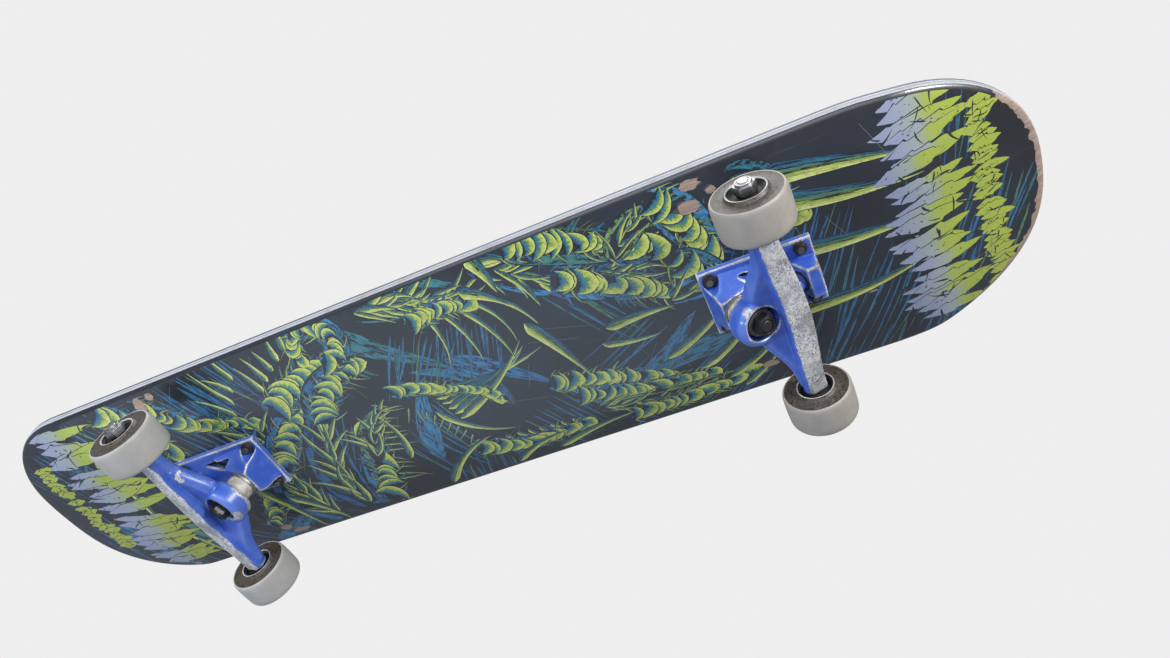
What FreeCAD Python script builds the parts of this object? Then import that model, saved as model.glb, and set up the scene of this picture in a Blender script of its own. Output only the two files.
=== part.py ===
import FreeCAD, Part
import math
import os
import re
import Sketcher

Vector = FreeCAD.Vector
Rotation = FreeCAD.Rotation
Placement = FreeCAD.Placement
X_AXIS, Y_AXIS, Z_AXIS = Vector(1, 0, 0), Vector(0, 1, 0), Vector(0, 0, 1)
ORIGIN = Vector(0, 0, 0)

# Driving dimensions: lengths in millimetres, angles in degrees.
# The board stands on its wheels at z = 0, with the nose towards +X and the deck's middle over
# the origin. A truck is drawn in its own frame: the origin is on the deck's bottom face in the
# middle of the four bolts, +X points to the nearer end of the board, and the kingpin leans
# inboard. A turned piece is drawn about its own Z axis.
SIZES = {
    # deck
    "deck_length": 846, "deck_width": 195.5, "deck_thickness": 11, "ply_count": 7,
    "grip_thickness": 0.8, "concave_flat": 60, "concave_radius": 312, "concave_reach": 16,
    "kick_start": 324, "kick_bend": 88, "nose_angle": 15.4, "tail_angle": 11.2,
    "nose_taper": 293, "tail_taper": 321, "nose_roundness": 2.3, "tail_roundness": 2.37,
    "trim_below": 20, "trim_height": 100,
    # deck bolts and nuts
    "bolt_spacing_x": 63.5, "bolt_spacing_y": 41.3, "truck_centre": 225.25, "bolt_radius": 2.4,
    "bolt_hole": 2.7, "bolt_head": 4.5, "bolt_head_depth": 2.6, "bolt_tail": 1.2,
    "recess_length": 4.6, "recess_width": 1.1, "recess_depth": 1.9,
    "deck_nut_radius": 4.9, "deck_nut_height": 4.4, "deck_nut_collar": 3.9,
    "deck_nut_crown": 1.2, "nut_pad": 6.2, "nut_pad_cut": 40,
    # baseplate
    "plate_inboard": 39.25, "plate_outboard": 40.25, "plate_width": 53, "plate_thickness": 5,
    "wedge_end": 8, "wedge_width": 49, "wedge_foot": 1, "seat_half": 10.6, "boss_width": 24,
    "boss_face": 9.6, "boss_toe": 19.6, "boss_inset": 0.6,
    # kingpin, bushings and washers: stations count along the kingpin from the steering axis,
    # towards the road
    "kingpin_lean": 28, "kingpin_x": 12.75, "kingpin_drop": 34, "kingpin_radius": 4.76,
    "kingpin_head": 6.6, "head_clearance": 0.2, "head_top": -32, "head_bottom": -26,
    "seat_station": -15, "kingpin_end": 17.4, "kingpin_chamfer": 1,
    "washer_thickness": 1.6, "washer_rim": 0.9, "washer_wall": 0.6, "board_washer": 11,
    "road_washer": 9.6, "bushing_hole": 5, "bushing_radius": 10.6, "bushing_barrel": 1.6,
    "bushing_waist": 0.8, "road_bushing": 10.4, "road_bushing_end": 9.2, "road_bushing_taper": 2,
    "kingpin_nut_radius": 7.9, "kingpin_nut_height": 6, "kingpin_nut_collar": 6.4,
    "kingpin_nut_crown": 0.8, "bore_run": 60,
    # pivot: stations count along the steering axis from the kingpin
    "pivot_mouth": 44, "pivot_rim": 43.2, "pivot_floor": 53.5, "pivot_tip": 52.3,
    "pivot_radius": 5.7, "pivot_clearance": 0.06, "cup_radius": 7.3, "cup_flange": 0.5,
    "cup_end_gap": 0.5, "stem_start": 12, "stem_root": 10, "stem_waist_start": 30,
    "stem_waist": 8, "stem_neck_start": 38, "stem_neck": 6.3, "stem_straight_start": 42,
    # hanger
    "ring_top": -3.5, "ring_bottom": 12.5, "ring_radius": 17.4, "ring_round": 4.4,
    "board_recess": 1.5, "board_recess_gap": 0.7, "web_bottom": 1.5, "web_hole": 6.7,
    "road_recess": 12, "hanger_half": 68, "web_radius": 6.5, "ground_angle": 22.5,
    "ground_depth": 6.4, "ground_slab": 60, "cut_run": 36,
    # axle
    "axle_x": 11.2, "axle_drop": 42.3, "axle_radius": 3.97, "axle_end": 101.6,
    "axle_chamfer": 0.8,
    # wheels
    "wheel_y": 81, "wheel_radius": 24.3, "tread_edge": 23.2, "tread_half": 12.5,
    "shoulder_drop": 0.4, "shoulder_inset": 1.5, "dish_inset": 1, "dish_depth": 0.3,
    "lip_half": 14.4, "lip_outer": 13.8, "lip_inner": 12.2, "lip_round": 0.5, "core_radius": 8.6,
    # bearings, nuts and washers on the axle
    "bearing_radius": 11, "bearing_bore": 4, "bearing_width": 7, "bearing_gap": 10,
    "outer_shoulder": 8.9, "inner_shoulder": 6.1, "pitch_radius": 7.5, "ball_radius": 1.985,
    "race_clearance": 0.05, "ball_count": 7, "shield_thickness": 0.3, "shield_inset": 0.15,
    "shield_inner": 6.5, "spacer_radius": 5.2, "speed_washer": 5.6, "speed_washer_thickness": 1,
    "axle_nut_radius": 7.33, "axle_nut_height": 5.6, "axle_nut_collar": 5.4,
    "axle_nut_crown": 1.6,
}

# Corners of a lightening window in the baseplate, between the wedge and the pivot.
WINDOW = (("-14", "18.5"), ("14", "16.5"), ("2", "6.5"))
# Sections of the hanger's bar: the share of its half length, how far its middle stands outboard
# of the axle, and its radius.
BAR_SECTIONS = ((1, 0, 8.2), (0.7, 0.8, 8.5), (0.4, 2.6, 8.9))
BAR_MIDDLE = (0, 3.9, 9.1)
# Sections of the web that joins the bar to the ring: the share of the half length, the reach
# from the axle to the ring, and how far the section lies on the board's side of the axle.
WEB_SECTIONS = ((0.97, 0.05, 0), (0.8, 0.16, 1), (0.56, 0.362, 3), (0.35, 0.714, 6))
WEB_MIDDLE = (0, 0.85, 9)

document = FreeCAD.newDocument("Skateboard")
sheet = document.addObject("Spreadsheet::Sheet", "Sizes")
for number, (alias, size) in enumerate(SIZES.items(), start=1):
    sheet.set(f"A{number}", alias)
    sheet.set(f"B{number}", str(size))
    sheet.setAlias(f"B{number}", alias)
document.recompute()


def bound(text):
    """The expression with the sheet's name before each alias in it."""
    return re.sub(r"\b([a-z]\w*)\b(?!\()", r"Sizes.\1", str(text))


def value(text):
    return float(sheet.evalExpression(bound(text)))


# ---------------------------------------------------------------- sketches and features

def sketch_on(body, role, offset=None):
    sketch = body.newObject("Sketcher::SketchObject", "Sketch")
    plane = [feature for feature in body.Origin.OriginFeatures if feature.Role == role][0]
    sketch.AttachmentSupport = [(plane, "")]
    sketch.MapMode = "FlatFace"
    if offset:
        sketch.AttachmentOffset = offset
    return sketch


def pin_point(sketch, geometry, point, place):
    """Tie one point of a sketch to two expressions, its distances from the sketch's origin."""
    for kind, text in zip(("DistanceX", "DistanceY"), place):
        row = sketch.addConstraint(
            Sketcher.Constraint(kind, -1, 1, geometry, point, value(text)))
        sketch.setExpression(f"Constraints[{row}]", bound(text))


def polygon(sketch, corners):
    """Draw a closed outline whose corners are pairs of expressions."""
    ends = [Vector(value(across), value(along), 0) for across, along in corners]
    first = sketch.GeometryCount
    for start, end in zip(ends, ends[1:] + ends[:1]):
        sketch.addGeometry(Part.LineSegment(start, end))
    for index, corner in enumerate(corners):
        after = first + (index + 1) % len(corners)
        sketch.addConstraint(Sketcher.Constraint("Coincident", first + index, 2, after, 1))
        pin_point(sketch, first + index, 1, corner)


def circle(sketch, centre, radius):
    middle = Vector(value(centre[0]), value(centre[1]), 0)
    geometry = sketch.addGeometry(Part.Circle(middle, Z_AXIS, value(radius)))
    pin_point(sketch, geometry, 3, centre)
    row = sketch.addConstraint(Sketcher.Constraint("Radius", geometry, value(radius)))
    sketch.setExpression(f"Constraints[{row}]", bound(radius))


def new_body(label):
    body = document.addObject("PartDesign::Body", label)
    body.Label = label
    return body


def turned(label, corners):
    """A body turned about its Z axis; each corner is a radius and a height."""
    body = new_body(label)
    sketch = sketch_on(body, "XZ_Plane")
    polygon(sketch, corners)
    turn = body.newObject("PartDesign::Revolution", "Turn")
    turn.Profile = sketch
    turn.ReferenceAxis = (sketch, ["V_Axis"])
    turn.Angle = 360
    return body


def ring_of(label, inner, outer, low, high):
    return turned(label, [(inner, low), (outer, low), (outer, high), (inner, high)])


def hex_nut(label, radius, height, collar, crown, bore):
    """A lock nut on the Z axis, from z = 0: a hexagon with a round collar above it."""
    prism = document.addObject("Part::Prism", label + "_hexagon")
    prism.Polygon = 6
    prism.setExpression("Circumradius", bound(radius))
    prism.setExpression("Height", bound(height))
    top = document.addObject("Part::Cylinder", label + "_collar")
    top.setExpression("Radius", bound(collar))
    top.setExpression("Height", bound(f"{height} + {crown}"))
    shaft = document.addObject("Part::Cylinder", label + "_bore")
    shaft.setExpression("Radius", bound(bore))
    shaft.setExpression("Height", bound(f"{height} + {crown}"))
    joined = document.addObject("Part::Fuse", label + "_joined")
    joined.Base = prism
    joined.Tool = top
    nut = document.addObject("Part::Cut", label)
    nut.Base = joined
    nut.Tool = shaft
    nut.Label = label
    return nut


def copies(label, piece, places):
    """One node that holds the same piece at several places."""
    links = []
    for place in places:
        link = document.addObject("App::Link", label + "_copy")
        link.LinkedObject = piece
        link.Placement = place
        links.append(link)
    group = document.addObject("Part::Compound", label)
    group.Links = links
    group.Label = label
    return group


def feature(label, shape):
    piece = document.addObject("Part::Feature", label)
    piece.Label = label
    piece.Shape = shape
    return piece


nodes = []


def keep(piece, placement):
    """Place a finished sub-part and list it for export."""
    piece.Placement = placement
    nodes.append(piece)


# ---------------------------------------------------------------- places

deck_bottom = value("wheel_radius + axle_drop")
lean = math.radians(value("kingpin_lean"))
to_road = Vector(math.sin(lean), 0, -math.cos(lean))
to_pivot = Vector(math.cos(lean), 0, math.sin(lean))
steering_centre = Vector(-value("kingpin_x"), 0, -value("kingpin_drop"))
kingpin_place = Placement(steering_centre, Rotation(Z_AXIS, to_road))
pivot_place = Placement(steering_centre, Rotation(Z_AXIS, to_pivot))
TRUCKS = {"front": 0, "rear": 180}
SIDES = {"left": 1, "right": -1}


def truck_place(turn):
    """The frame of a truck: the front one, or the same turned half way round."""
    half_turn = Rotation(Z_AXIS, turn)
    return Placement(half_turn.multVec(Vector(value("truck_centre"), 0, deck_bottom)), half_turn)


def bolt_places(height):
    return [Placement(Vector(x, y, height), Rotation())
            for x in (-value("bolt_spacing_x / 2"), value("bolt_spacing_x / 2"))
            for y in (-value("bolt_spacing_y / 2"), value("bolt_spacing_y / 2"))]


def wheel_place(side):
    """On a truck, with the wheel's own Z axis pointing away from the board."""
    centre = Vector(value("axle_x"), side * value("wheel_y"), -value("axle_drop"))
    return Placement(centre, Rotation(Z_AXIS, Vector(0, side, 0)))


# ---------------------------------------------------------------- deck

def section(low, high):
    """The layer's section across the board: a flat middle and two arcs that rise to the edges."""
    flat = value("concave_flat / 2")
    centre_height = value("concave_radius")
    reach = math.radians(value("concave_reach"))

    def on_arc(side, offset, angle):
        radius = centre_height - offset
        return Vector(0, side * (flat + radius * math.sin(angle)),
                      centre_height - radius * math.cos(angle))

    def arc(side, offset):
        points = [on_arc(side, offset, angle) for angle in (0, reach / 2, reach)]
        return Part.Arc(*points).toShape()

    edges = [Part.makeLine(on_arc(-1, low, 0), on_arc(1, low, 0)), arc(1, low),
             Part.makeLine(on_arc(1, low, reach), on_arc(1, high, reach)), arc(1, high),
             Part.makeLine(on_arc(1, high, 0), on_arc(-1, high, 0)), arc(-1, high),
             Part.makeLine(on_arc(-1, high, reach), on_arc(-1, low, reach)), arc(-1, low)]
    return Part.Face(Part.Wire(Part.__sortEdges__(edges)))


def half_layer(low, high, angle, end):
    """The layer from the middle of the board to one end: flat, a bend, then the kick."""
    start = section(low, high)
    flat_length = value("kick_start")
    kick_length = value("deck_length / 2") - flat_length
    flat = start.extrude(Vector(end * flat_length, 0, 0))
    bend_start = start.translated(Vector(end * flat_length, 0, 0))
    bend_axis = Vector(end * flat_length, 0, value("kick_bend"))
    bend = bend_start.revolve(bend_axis, Vector(0, -end, 0), angle)
    kick_start = bend_start.rotated(bend_axis, Vector(0, -end, 0), angle)
    slope = math.radians(angle)
    kick = kick_start.extrude(Vector(end * math.cos(slope), 0, math.sin(slope)) * kick_length)
    return [flat, bend, kick]


END_STEPS = 24


def end_curve(end, taper, roundness):
    """The rounded end of the outline, a superellipse, as one smooth curve."""
    span = value("deck_length / 2") - value(taper)
    power = 2 / value(roundness)
    points = []
    for step in range(END_STEPS + 1):
        turn = math.pi * (step / END_STEPS - 0.5)
        along = math.cos(turn) ** power
        across = math.copysign(abs(math.sin(turn)) ** power, math.sin(turn))
        points.append(Vector(end * (value(taper) + span * along),
                             across * value("deck_width / 2"), 0))
    curve = Part.BSplineCurve()
    curve.interpolate(points, InitialTangent=Vector(end, 0, 0), FinalTangent=Vector(-end, 0, 0))
    return curve.toShape()


def outline_prism():
    """The deck's outline, as a prism tall enough to trim every layer."""
    half = value("deck_width / 2")
    ends = [end_curve(1, "nose_taper", "nose_roundness"),
            end_curve(-1, "tail_taper", "tail_roundness")]
    sides = [Part.makeLine(Vector(-value("tail_taper"), side * half, 0),
                           Vector(value("nose_taper"), side * half, 0)) for side in (-1, 1)]
    face = Part.Face(Part.Wire(Part.__sortEdges__(ends + sides)))
    low_face = face.translated(Vector(0, 0, -value("trim_below")))
    return low_face.extrude(Vector(0, 0, value("trim_height")))


def bolt_profile(label, clearance):
    """A countersunk bolt under the grip face, or with a clearance the hole that it sits in."""
    tip = "-plate_thickness - deck_nut_height - bolt_tail"
    return turned(label, [
        (0, tip), (f"bolt_radius + {clearance}", tip),
        (f"bolt_radius + {clearance}", "deck_thickness - bolt_head_depth"),
        (f"bolt_head + {clearance}", "deck_thickness"), (0, "deck_thickness")])


def deck_hole_cutters():
    hole = bolt_profile("deck_hole", "(bolt_hole - bolt_radius)")
    document.recompute()
    cutters = []
    for turn in TRUCKS.values():
        frame = truck_place(turn)
        frame.Base.z = 0
        for place in bolt_places(0):
            cutter = hole.Shape.copy()
            cutter.Placement = frame * place
            cutters.append(cutter)
    return cutters


def layer(low, high, outline, cutters):
    pieces = (half_layer(low, high, value("nose_angle"), 1)
              + half_layer(low, high, value("tail_angle"), -1))
    whole = pieces[0].multiFuse(pieces[1:]).removeSplitter()
    return whole.common(outline).cut(cutters).Solids[0]


def deck():
    outline = outline_prism()
    cutters = deck_hole_cutters()
    count = int(value("ply_count"))
    ply = value("(deck_thickness - grip_thickness) / ply_count")
    place = Placement(Vector(0, 0, deck_bottom), Rotation())
    for index in range(count):
        shape = layer(index * ply, (index + 1) * ply, outline, cutters)
        keep(feature(f"deck_ply_{index + 1}", shape), place)
    grip = layer(count * ply, value("deck_thickness"), outline, cutters)
    keep(feature("grip_tape", grip), place)


def cross_recessed(name, bolt):
    """The bolt with a cross cut into its head."""
    for arm, (length, width) in enumerate((("recess_length", "recess_width"),
                                           ("recess_width", "recess_length"))):
        slot = document.addObject("Part::Box", f"{name}_recess_{arm}")
        slot.setExpression("Length", bound(length))
        slot.setExpression("Width", bound(width))
        slot.setExpression("Height", bound("recess_depth"))
        slot.Placement.Base = Vector(value(f"-{length} / 2"), value(f"-{width} / 2"),
                                     value("deck_thickness - recess_depth"))
        cut = document.addObject("Part::Cut", f"{name}_recessed_{arm}")
        cut.Base = bolt
        cut.Tool = slot
        bolt = cut
    return bolt


def deck_fasteners(name, frame):
    bolt = cross_recessed(name, bolt_profile(name + "_deck_bolt", "0"))
    nut = hex_nut(name + "_deck_nut", "deck_nut_radius", "deck_nut_height - deck_nut_crown",
                  "deck_nut_collar", "deck_nut_crown", "bolt_radius")
    keep(copies(name + "_deck_bolts", bolt, bolt_places(0)), frame)
    under = [Placement(place.Base, Rotation(X_AXIS, 180))
             for place in bolt_places(-value("plate_thickness"))]
    keep(copies(name + "_deck_nuts", nut, under), frame)


# ---------------------------------------------------------------- baseplate

def pad(body, sketch, length, symmetric=False, reverse=False):
    block = body.newObject("PartDesign::Pad", "Pad")
    block.Profile = sketch
    block.setExpression("Length", bound(length))
    block.Midplane = symmetric
    block.Reversed = reverse
    return block


def pocket(body, sketch, length=None, symmetric=False, reverse=False):
    hollow = body.newObject("PartDesign::Pocket", "Pocket")
    hollow.Profile = sketch
    if length:
        hollow.setExpression("Length", bound(length))
    else:
        hollow.Type = "ThroughAll"
    hollow.Midplane = symmetric
    hollow.Reversed = reverse
    return hollow


def rectangle(sketch, low_x, high_x, half_y):
    polygon(sketch, [(low_x, f"-({half_y})"), (high_x, f"-({half_y})"),
                     (high_x, half_y), (low_x, half_y)])


def baseplate(name, frame):
    body = new_body(name + "_baseplate")
    plate = sketch_on(body, "XY_Plane")
    rectangle(plate, "-plate_inboard", "plate_outboard", "plate_width / 2")
    pad(body, plate, "plate_thickness", reverse=True)
    kingpin_wedge(body)
    pivot_boss(body)
    seat_pads(body)
    windows(body)
    bores(body)
    keep(body, frame)


def kingpin_wedge(body):
    """The raised wedge whose slanted top is the seat for the bushings."""
    foot_level = Placement(Vector(0, 0, -value("wedge_foot")), Rotation())
    foot = sketch_on(body, "XY_Plane", foot_level)
    rectangle(foot, "-plate_inboard", "wedge_end", "wedge_width / 2")
    seat_centre = steering_centre + to_road * value("seat_station")
    tilt = Rotation(Y_AXIS, -value("kingpin_lean"))
    seat = sketch_on(body, "XY_Plane", Placement(seat_centre, tilt))
    rectangle(seat, "-seat_half", "seat_half", "seat_half")
    wedge = body.newObject("PartDesign::AdditiveLoft", "Wedge")
    wedge.Profile = foot
    wedge.Sections = [seat]
    wedge.Ruled = True


def pivot_boss(body):
    """The block at the outboard end that holds the pivot cup."""
    mouth = steering_centre + to_pivot * value("pivot_mouth")
    run = math.tan(lean)
    low = mouth + to_road * value("boss_face")
    sketch = sketch_on(body, "XZ_Plane")
    polygon(sketch, [(mouth.x + mouth.z * run, 0), (low.x, low.z),
                     ("plate_outboard - boss_inset", "-boss_toe"),
                     ("plate_outboard - boss_inset", 0)])
    pad(body, sketch, "boss_width", symmetric=True)


def seat_pads(body):
    """Flat round pads for the deck nuts, cut down through the wedge's corners."""
    level = Placement(Vector(0, 0, -value("plate_thickness")), Rotation())
    sketch = sketch_on(body, "XY_Plane", level)
    for place in bolt_places(0):
        circle(sketch, (place.Base.x, place.Base.y), "nut_pad")
    pocket(body, sketch, "nut_pad_cut")


def windows(body):
    """Three-cornered lightening holes between the wedge and the pivot, one each side."""
    sketch = sketch_on(body, "XY_Plane")
    for side in ("", "-"):
        polygon(sketch, [(along, side + across) for along, across in WINDOW])
    pocket(body, sketch, symmetric=True)


def axial_pocket(body, axis_place, radius, start, end):
    """A round hole along the kingpin or the steering axis, between two stations."""
    offset = axis_place * Placement(Z_AXIS * value(end), Rotation())
    sketch = sketch_on(body, "XY_Plane", offset)
    circle(sketch, (0, 0), radius)
    pocket(body, sketch, f"({end}) - ({start})")


def bores(body):
    axial_pocket(body, kingpin_place, "kingpin_radius", "-bore_run", "ring_top")
    axial_pocket(body, kingpin_place, "kingpin_head + head_clearance", "-bore_run",
                 "head_bottom")
    axial_pocket(body, pivot_place, "cup_radius", "pivot_mouth - boss_width", "pivot_floor")
    sketch = sketch_on(body, "XY_Plane")
    for place in bolt_places(0):
        circle(sketch, (place.Base.x, place.Base.y), "bolt_hole")
    pocket(body, sketch, symmetric=True)


# ---------------------------------------------------------------- kingpin and pivot

def pivot_cup(name, frame):
    bore = "pivot_radius + pivot_clearance"
    cup = turned(name + "_pivot_cup", [
        (bore, "pivot_rim"), ("cup_radius + cup_flange", "pivot_rim"),
        ("cup_radius + cup_flange", "pivot_mouth"), ("cup_radius", "pivot_mouth"),
        ("cup_radius", "pivot_floor"), (0, "pivot_floor"), (0, "pivot_tip + cup_end_gap"),
        (bore, "pivot_tip + cup_end_gap")])
    keep(cup, frame * pivot_place)


def kingpin_stack(name, frame):
    """Kingpin, washers, bushings and nut, in the order that they go on."""
    place = frame * kingpin_place
    kingpin = turned(name + "_kingpin", [
        (0, "head_top"), ("kingpin_head", "head_top"), ("kingpin_head", "head_bottom"),
        ("kingpin_radius", "head_bottom"), ("kingpin_radius", "kingpin_end - kingpin_chamfer"),
        ("kingpin_radius - kingpin_chamfer", "kingpin_end"), (0, "kingpin_end")])
    keep(kingpin, place)
    keep(board_side_washer(name), place)
    keep(board_side_bushing(name), place)
    end = "road_bushing_end"
    keep(turned(name + "_road_side_bushing", [
        ("bushing_hole", "web_bottom"), ("road_bushing", "web_bottom"),
        ("road_bushing", f"{end} - road_bushing_taper"), ("road_bushing - 1", end),
        ("bushing_hole", end)]), place)
    keep(ring_of(name + "_road_side_washer", "kingpin_radius", "road_washer", end,
                 f"{end} + washer_thickness"), place)
    nut = hex_nut(name + "_kingpin_nut", "kingpin_nut_radius", "kingpin_nut_height",
                  "kingpin_nut_collar", "kingpin_nut_crown", "kingpin_radius")
    keep(nut, place * Placement(Z_AXIS * value(f"{end} + washer_thickness"), Rotation()))


def board_side_washer(name):
    """A dished washer on the baseplate's seat, whose rim holds the bushing's edge."""
    near, far = "seat_station", "seat_station + washer_thickness"
    return turned(name + "_board_side_washer", [
        ("kingpin_radius", near), ("board_washer", near), ("board_washer", f"{far} + washer_rim"),
        ("board_washer - washer_wall", f"{far} + washer_rim"),
        ("board_washer - washer_wall", far), ("kingpin_radius", far)])


def board_side_bushing(name):
    top, foot = "seat_station + washer_thickness", "ring_top + board_recess"
    return turned(name + "_board_side_bushing", [
        ("bushing_hole", top), ("bushing_radius - bushing_waist", top),
        ("bushing_radius", f"{top} + bushing_barrel"),
        ("bushing_radius", f"{foot} - bushing_barrel"),
        ("bushing_radius - bushing_waist", foot), ("bushing_hole", foot)])


# ---------------------------------------------------------------- hanger

def web_section(across, reach, rise):
    """A rounded bar's outline across the web, from beside the axle towards the ring."""
    radius = value("web_radius")
    ring_middle = steering_centre + to_road * value("(ring_top + ring_bottom) / 2")
    near = Vector(value("axle_x"), across, -value("axle_drop")) - to_road * rise
    far = near + (Vector(ring_middle.x, across, ring_middle.z) - near) * reach
    along = Vector(far - near).normalize()
    aside = along.cross(Y_AXIS) * radius
    near_arc = Part.Arc(near + aside, near - along * radius, near - aside).toShape()
    far_arc = Part.Arc(far - aside, far + along * radius, far + aside).toShape()
    lines = [Part.makeLine(near + aside * way, far + aside * way) for way in (1, -1)]
    return Part.Wire([near_arc, lines[1], far_arc, lines[0]])


def bar_section(across, outboard, radius):
    middle = Vector(value("axle_x") + outboard, across, -value("axle_drop"))
    return Part.Wire(Part.makeCircle(radius, middle, Y_AXIS))


def lofted(section, stations, middle):
    """A loft from the right end to the left one, through the same sections on both sides."""
    half = value("hanger_half")
    right = [section(-share * half, *numbers) for share, *numbers in stations]
    left = [section(share * half, *numbers) for share, *numbers in stations]
    return Part.makeLoft(right + [section(*middle)] + left[::-1], True, False)


def ground_face():
    """What grinding along ledges has taken off the hanger's lower outboard side."""
    turn = math.radians(value("ground_angle"))
    away = Vector(math.sin(turn), 0, -math.cos(turn))
    axle = Vector(value("axle_x"), 0, -value("axle_drop"))
    size, half = value("ground_slab"), value("hanger_half")
    slab = Part.makeBox(size, 2 * half + size, size)
    slab.translate(Vector(-size / 2, -half - size / 2, 0))
    slab.Placement = Placement(axle + away * value("ground_depth"),
                               Rotation(Z_AXIS, away)) * slab.Placement
    return slab


def axis_cylinder(axis_place, radius, start, end):
    drum = Part.makeCylinder(radius, end - start)
    drum.Placement = axis_place * Placement(Z_AXIS * start, Rotation())
    return drum


def hanger_stem():
    """The pivot stem, turned about the steering axis, from the ring to its rounded tip."""
    tip, radius = value("pivot_tip"), value("pivot_radius")
    corner = Vector(radius, 0, tip - radius)
    shoulder = Vector(radius * math.sqrt(0.5), 0, tip - radius * (1 - math.sqrt(0.5)))
    end = Vector(0, 0, tip)
    steps = ((0, "stem_start"), ("stem_root", "stem_start"), ("stem_waist", "stem_waist_start"),
             ("stem_neck", "stem_neck_start"), ("pivot_radius", "stem_straight_start"))
    profile = [Vector(value(out), 0, value(along)) for out, along in steps] + [corner]
    edges = [Part.makeLine(first, second) for first, second in zip(profile, profile[1:])]
    edges.append(Part.Arc(corner, shoulder, end).toShape())
    edges.append(Part.makeLine(end, profile[0]))
    stem = Part.Face(Part.Wire(edges)).revolve(ORIGIN, Z_AXIS, 360)
    stem.Placement = pivot_place
    return stem


def hanger_shape():
    ring = axis_cylinder(kingpin_place, value("ring_radius"), value("ring_top"),
                         value("ring_bottom"))
    ring = ring.makeFillet(value("ring_round"), ring.Edges[:1] + ring.Edges[2:])
    bar = lofted(bar_section, BAR_SECTIONS, BAR_MIDDLE)
    web = lofted(web_section, WEB_SECTIONS, WEB_MIDDLE)
    body = bar.multiFuse([web, ring, hanger_stem()])
    far = value("cut_run")
    cutters = [
        axis_cylinder(kingpin_place, value("web_hole"), -far, far),
        axis_cylinder(kingpin_place, value("bushing_radius + board_recess_gap"), -far,
                      value("ring_top + board_recess")),
        axis_cylinder(kingpin_place, value("road_recess"), value("web_bottom"), far),
        ground_face(),
    ]
    axle = Part.makeCylinder(value("axle_radius"), value("axle_end * 2"),
                             Vector(value("axle_x"), -value("axle_end"), -value("axle_drop")),
                             Y_AXIS)
    return body.cut(cutters + [axle]).Solids[0]


# ---------------------------------------------------------------- axle

def axle_set(name, frame):
    """The axle and what is on it: washers, spacers and nuts, the same on both sides."""
    centre = Placement(Vector(value("axle_x"), 0, -value("axle_drop")), Rotation(Z_AXIS, Y_AXIS))
    axle = turned(name + "_axle", [
        (0, "-axle_end"), ("axle_radius - axle_chamfer", "-axle_end"),
        ("axle_radius", "axle_chamfer - axle_end"), ("axle_radius", "axle_end - axle_chamfer"),
        ("axle_radius - axle_chamfer", "axle_end"), (0, "axle_end")])
    keep(axle, frame * centre)
    face = "bearing_gap / 2 + bearing_width"
    washer = ring_of(name + "_speed_washer", "bearing_bore", "speed_washer", 0,
                     "speed_washer_thickness")
    outer, inner = value(face), -value(face) - value("speed_washer_thickness")
    keep(copies(name + "_speed_washers", washer,
                [wheel_place(side) * Placement(Z_AXIS * height, Rotation())
                 for side in SIDES.values() for height in (inner, outer)]), frame)
    spacer = ring_of(name + "_bearing_spacer", "bearing_bore", "spacer_radius",
                     "-bearing_gap / 2", "bearing_gap / 2")
    keep(copies(name + "_bearing_spacers", spacer,
                [wheel_place(side) for side in SIDES.values()]), frame)
    nut = hex_nut(name + "_axle_nut", "axle_nut_radius", "axle_nut_height", "axle_nut_collar",
                  "axle_nut_crown", "axle_radius")
    seat = Placement(Z_AXIS * (outer + value("speed_washer_thickness")), Rotation())
    keep(copies(name + "_axle_nuts", nut,
                [wheel_place(side) * seat for side in SIDES.values()]), frame)


# ---------------------------------------------------------------- wheels and bearings

def wheel(name, place):
    """The urethane wheel: a crowned tread, coned faces, a lip and two bearing seats."""
    face = "bearing_gap / 2 + bearing_width"
    half = [("core_radius", 0), ("core_radius", "bearing_gap / 2"),
            ("bearing_radius", "bearing_gap / 2"), ("bearing_radius", face),
            ("lip_inner", f"{face} + lip_round"), ("lip_inner", "lip_half"),
            ("lip_outer - lip_round", "lip_half"), ("lip_outer", "lip_half - lip_round"),
            ("lip_outer", "tread_half - dish_depth"), ("tread_edge - dish_inset", "tread_half"),
            ("tread_edge", "tread_half"),
            ("wheel_radius - shoulder_drop", "tread_half - shoulder_inset"),
            ("wheel_radius", 0)]
    mirrored = [(radius, f"-({height})") for radius, height in half[1:-1]]
    keep(turned(name + "_wheel", half + mirrored[::-1]), place)


def both_bearings(label, piece):
    """The same piece in both bearings of a wheel, each with its outer face outwards."""
    middle = value("(bearing_gap + bearing_width) / 2")
    return copies(label, piece, [Placement(Z_AXIS * middle, Rotation()),
                                 Placement(Z_AXIS * -middle, Rotation(X_AXIS, 180))])


def race(label, ring):
    """A bearing ring with its groove, cut by a torus a little fatter than a ball."""
    groove = document.addObject("Part::Torus", label + "_groove")
    groove.setExpression("Radius1", bound("pitch_radius"))
    groove.setExpression("Radius2", bound("ball_radius + race_clearance"))
    grooved = document.addObject("Part::Cut", label)
    grooved.Base = ring
    grooved.Tool = groove
    return grooved


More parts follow.
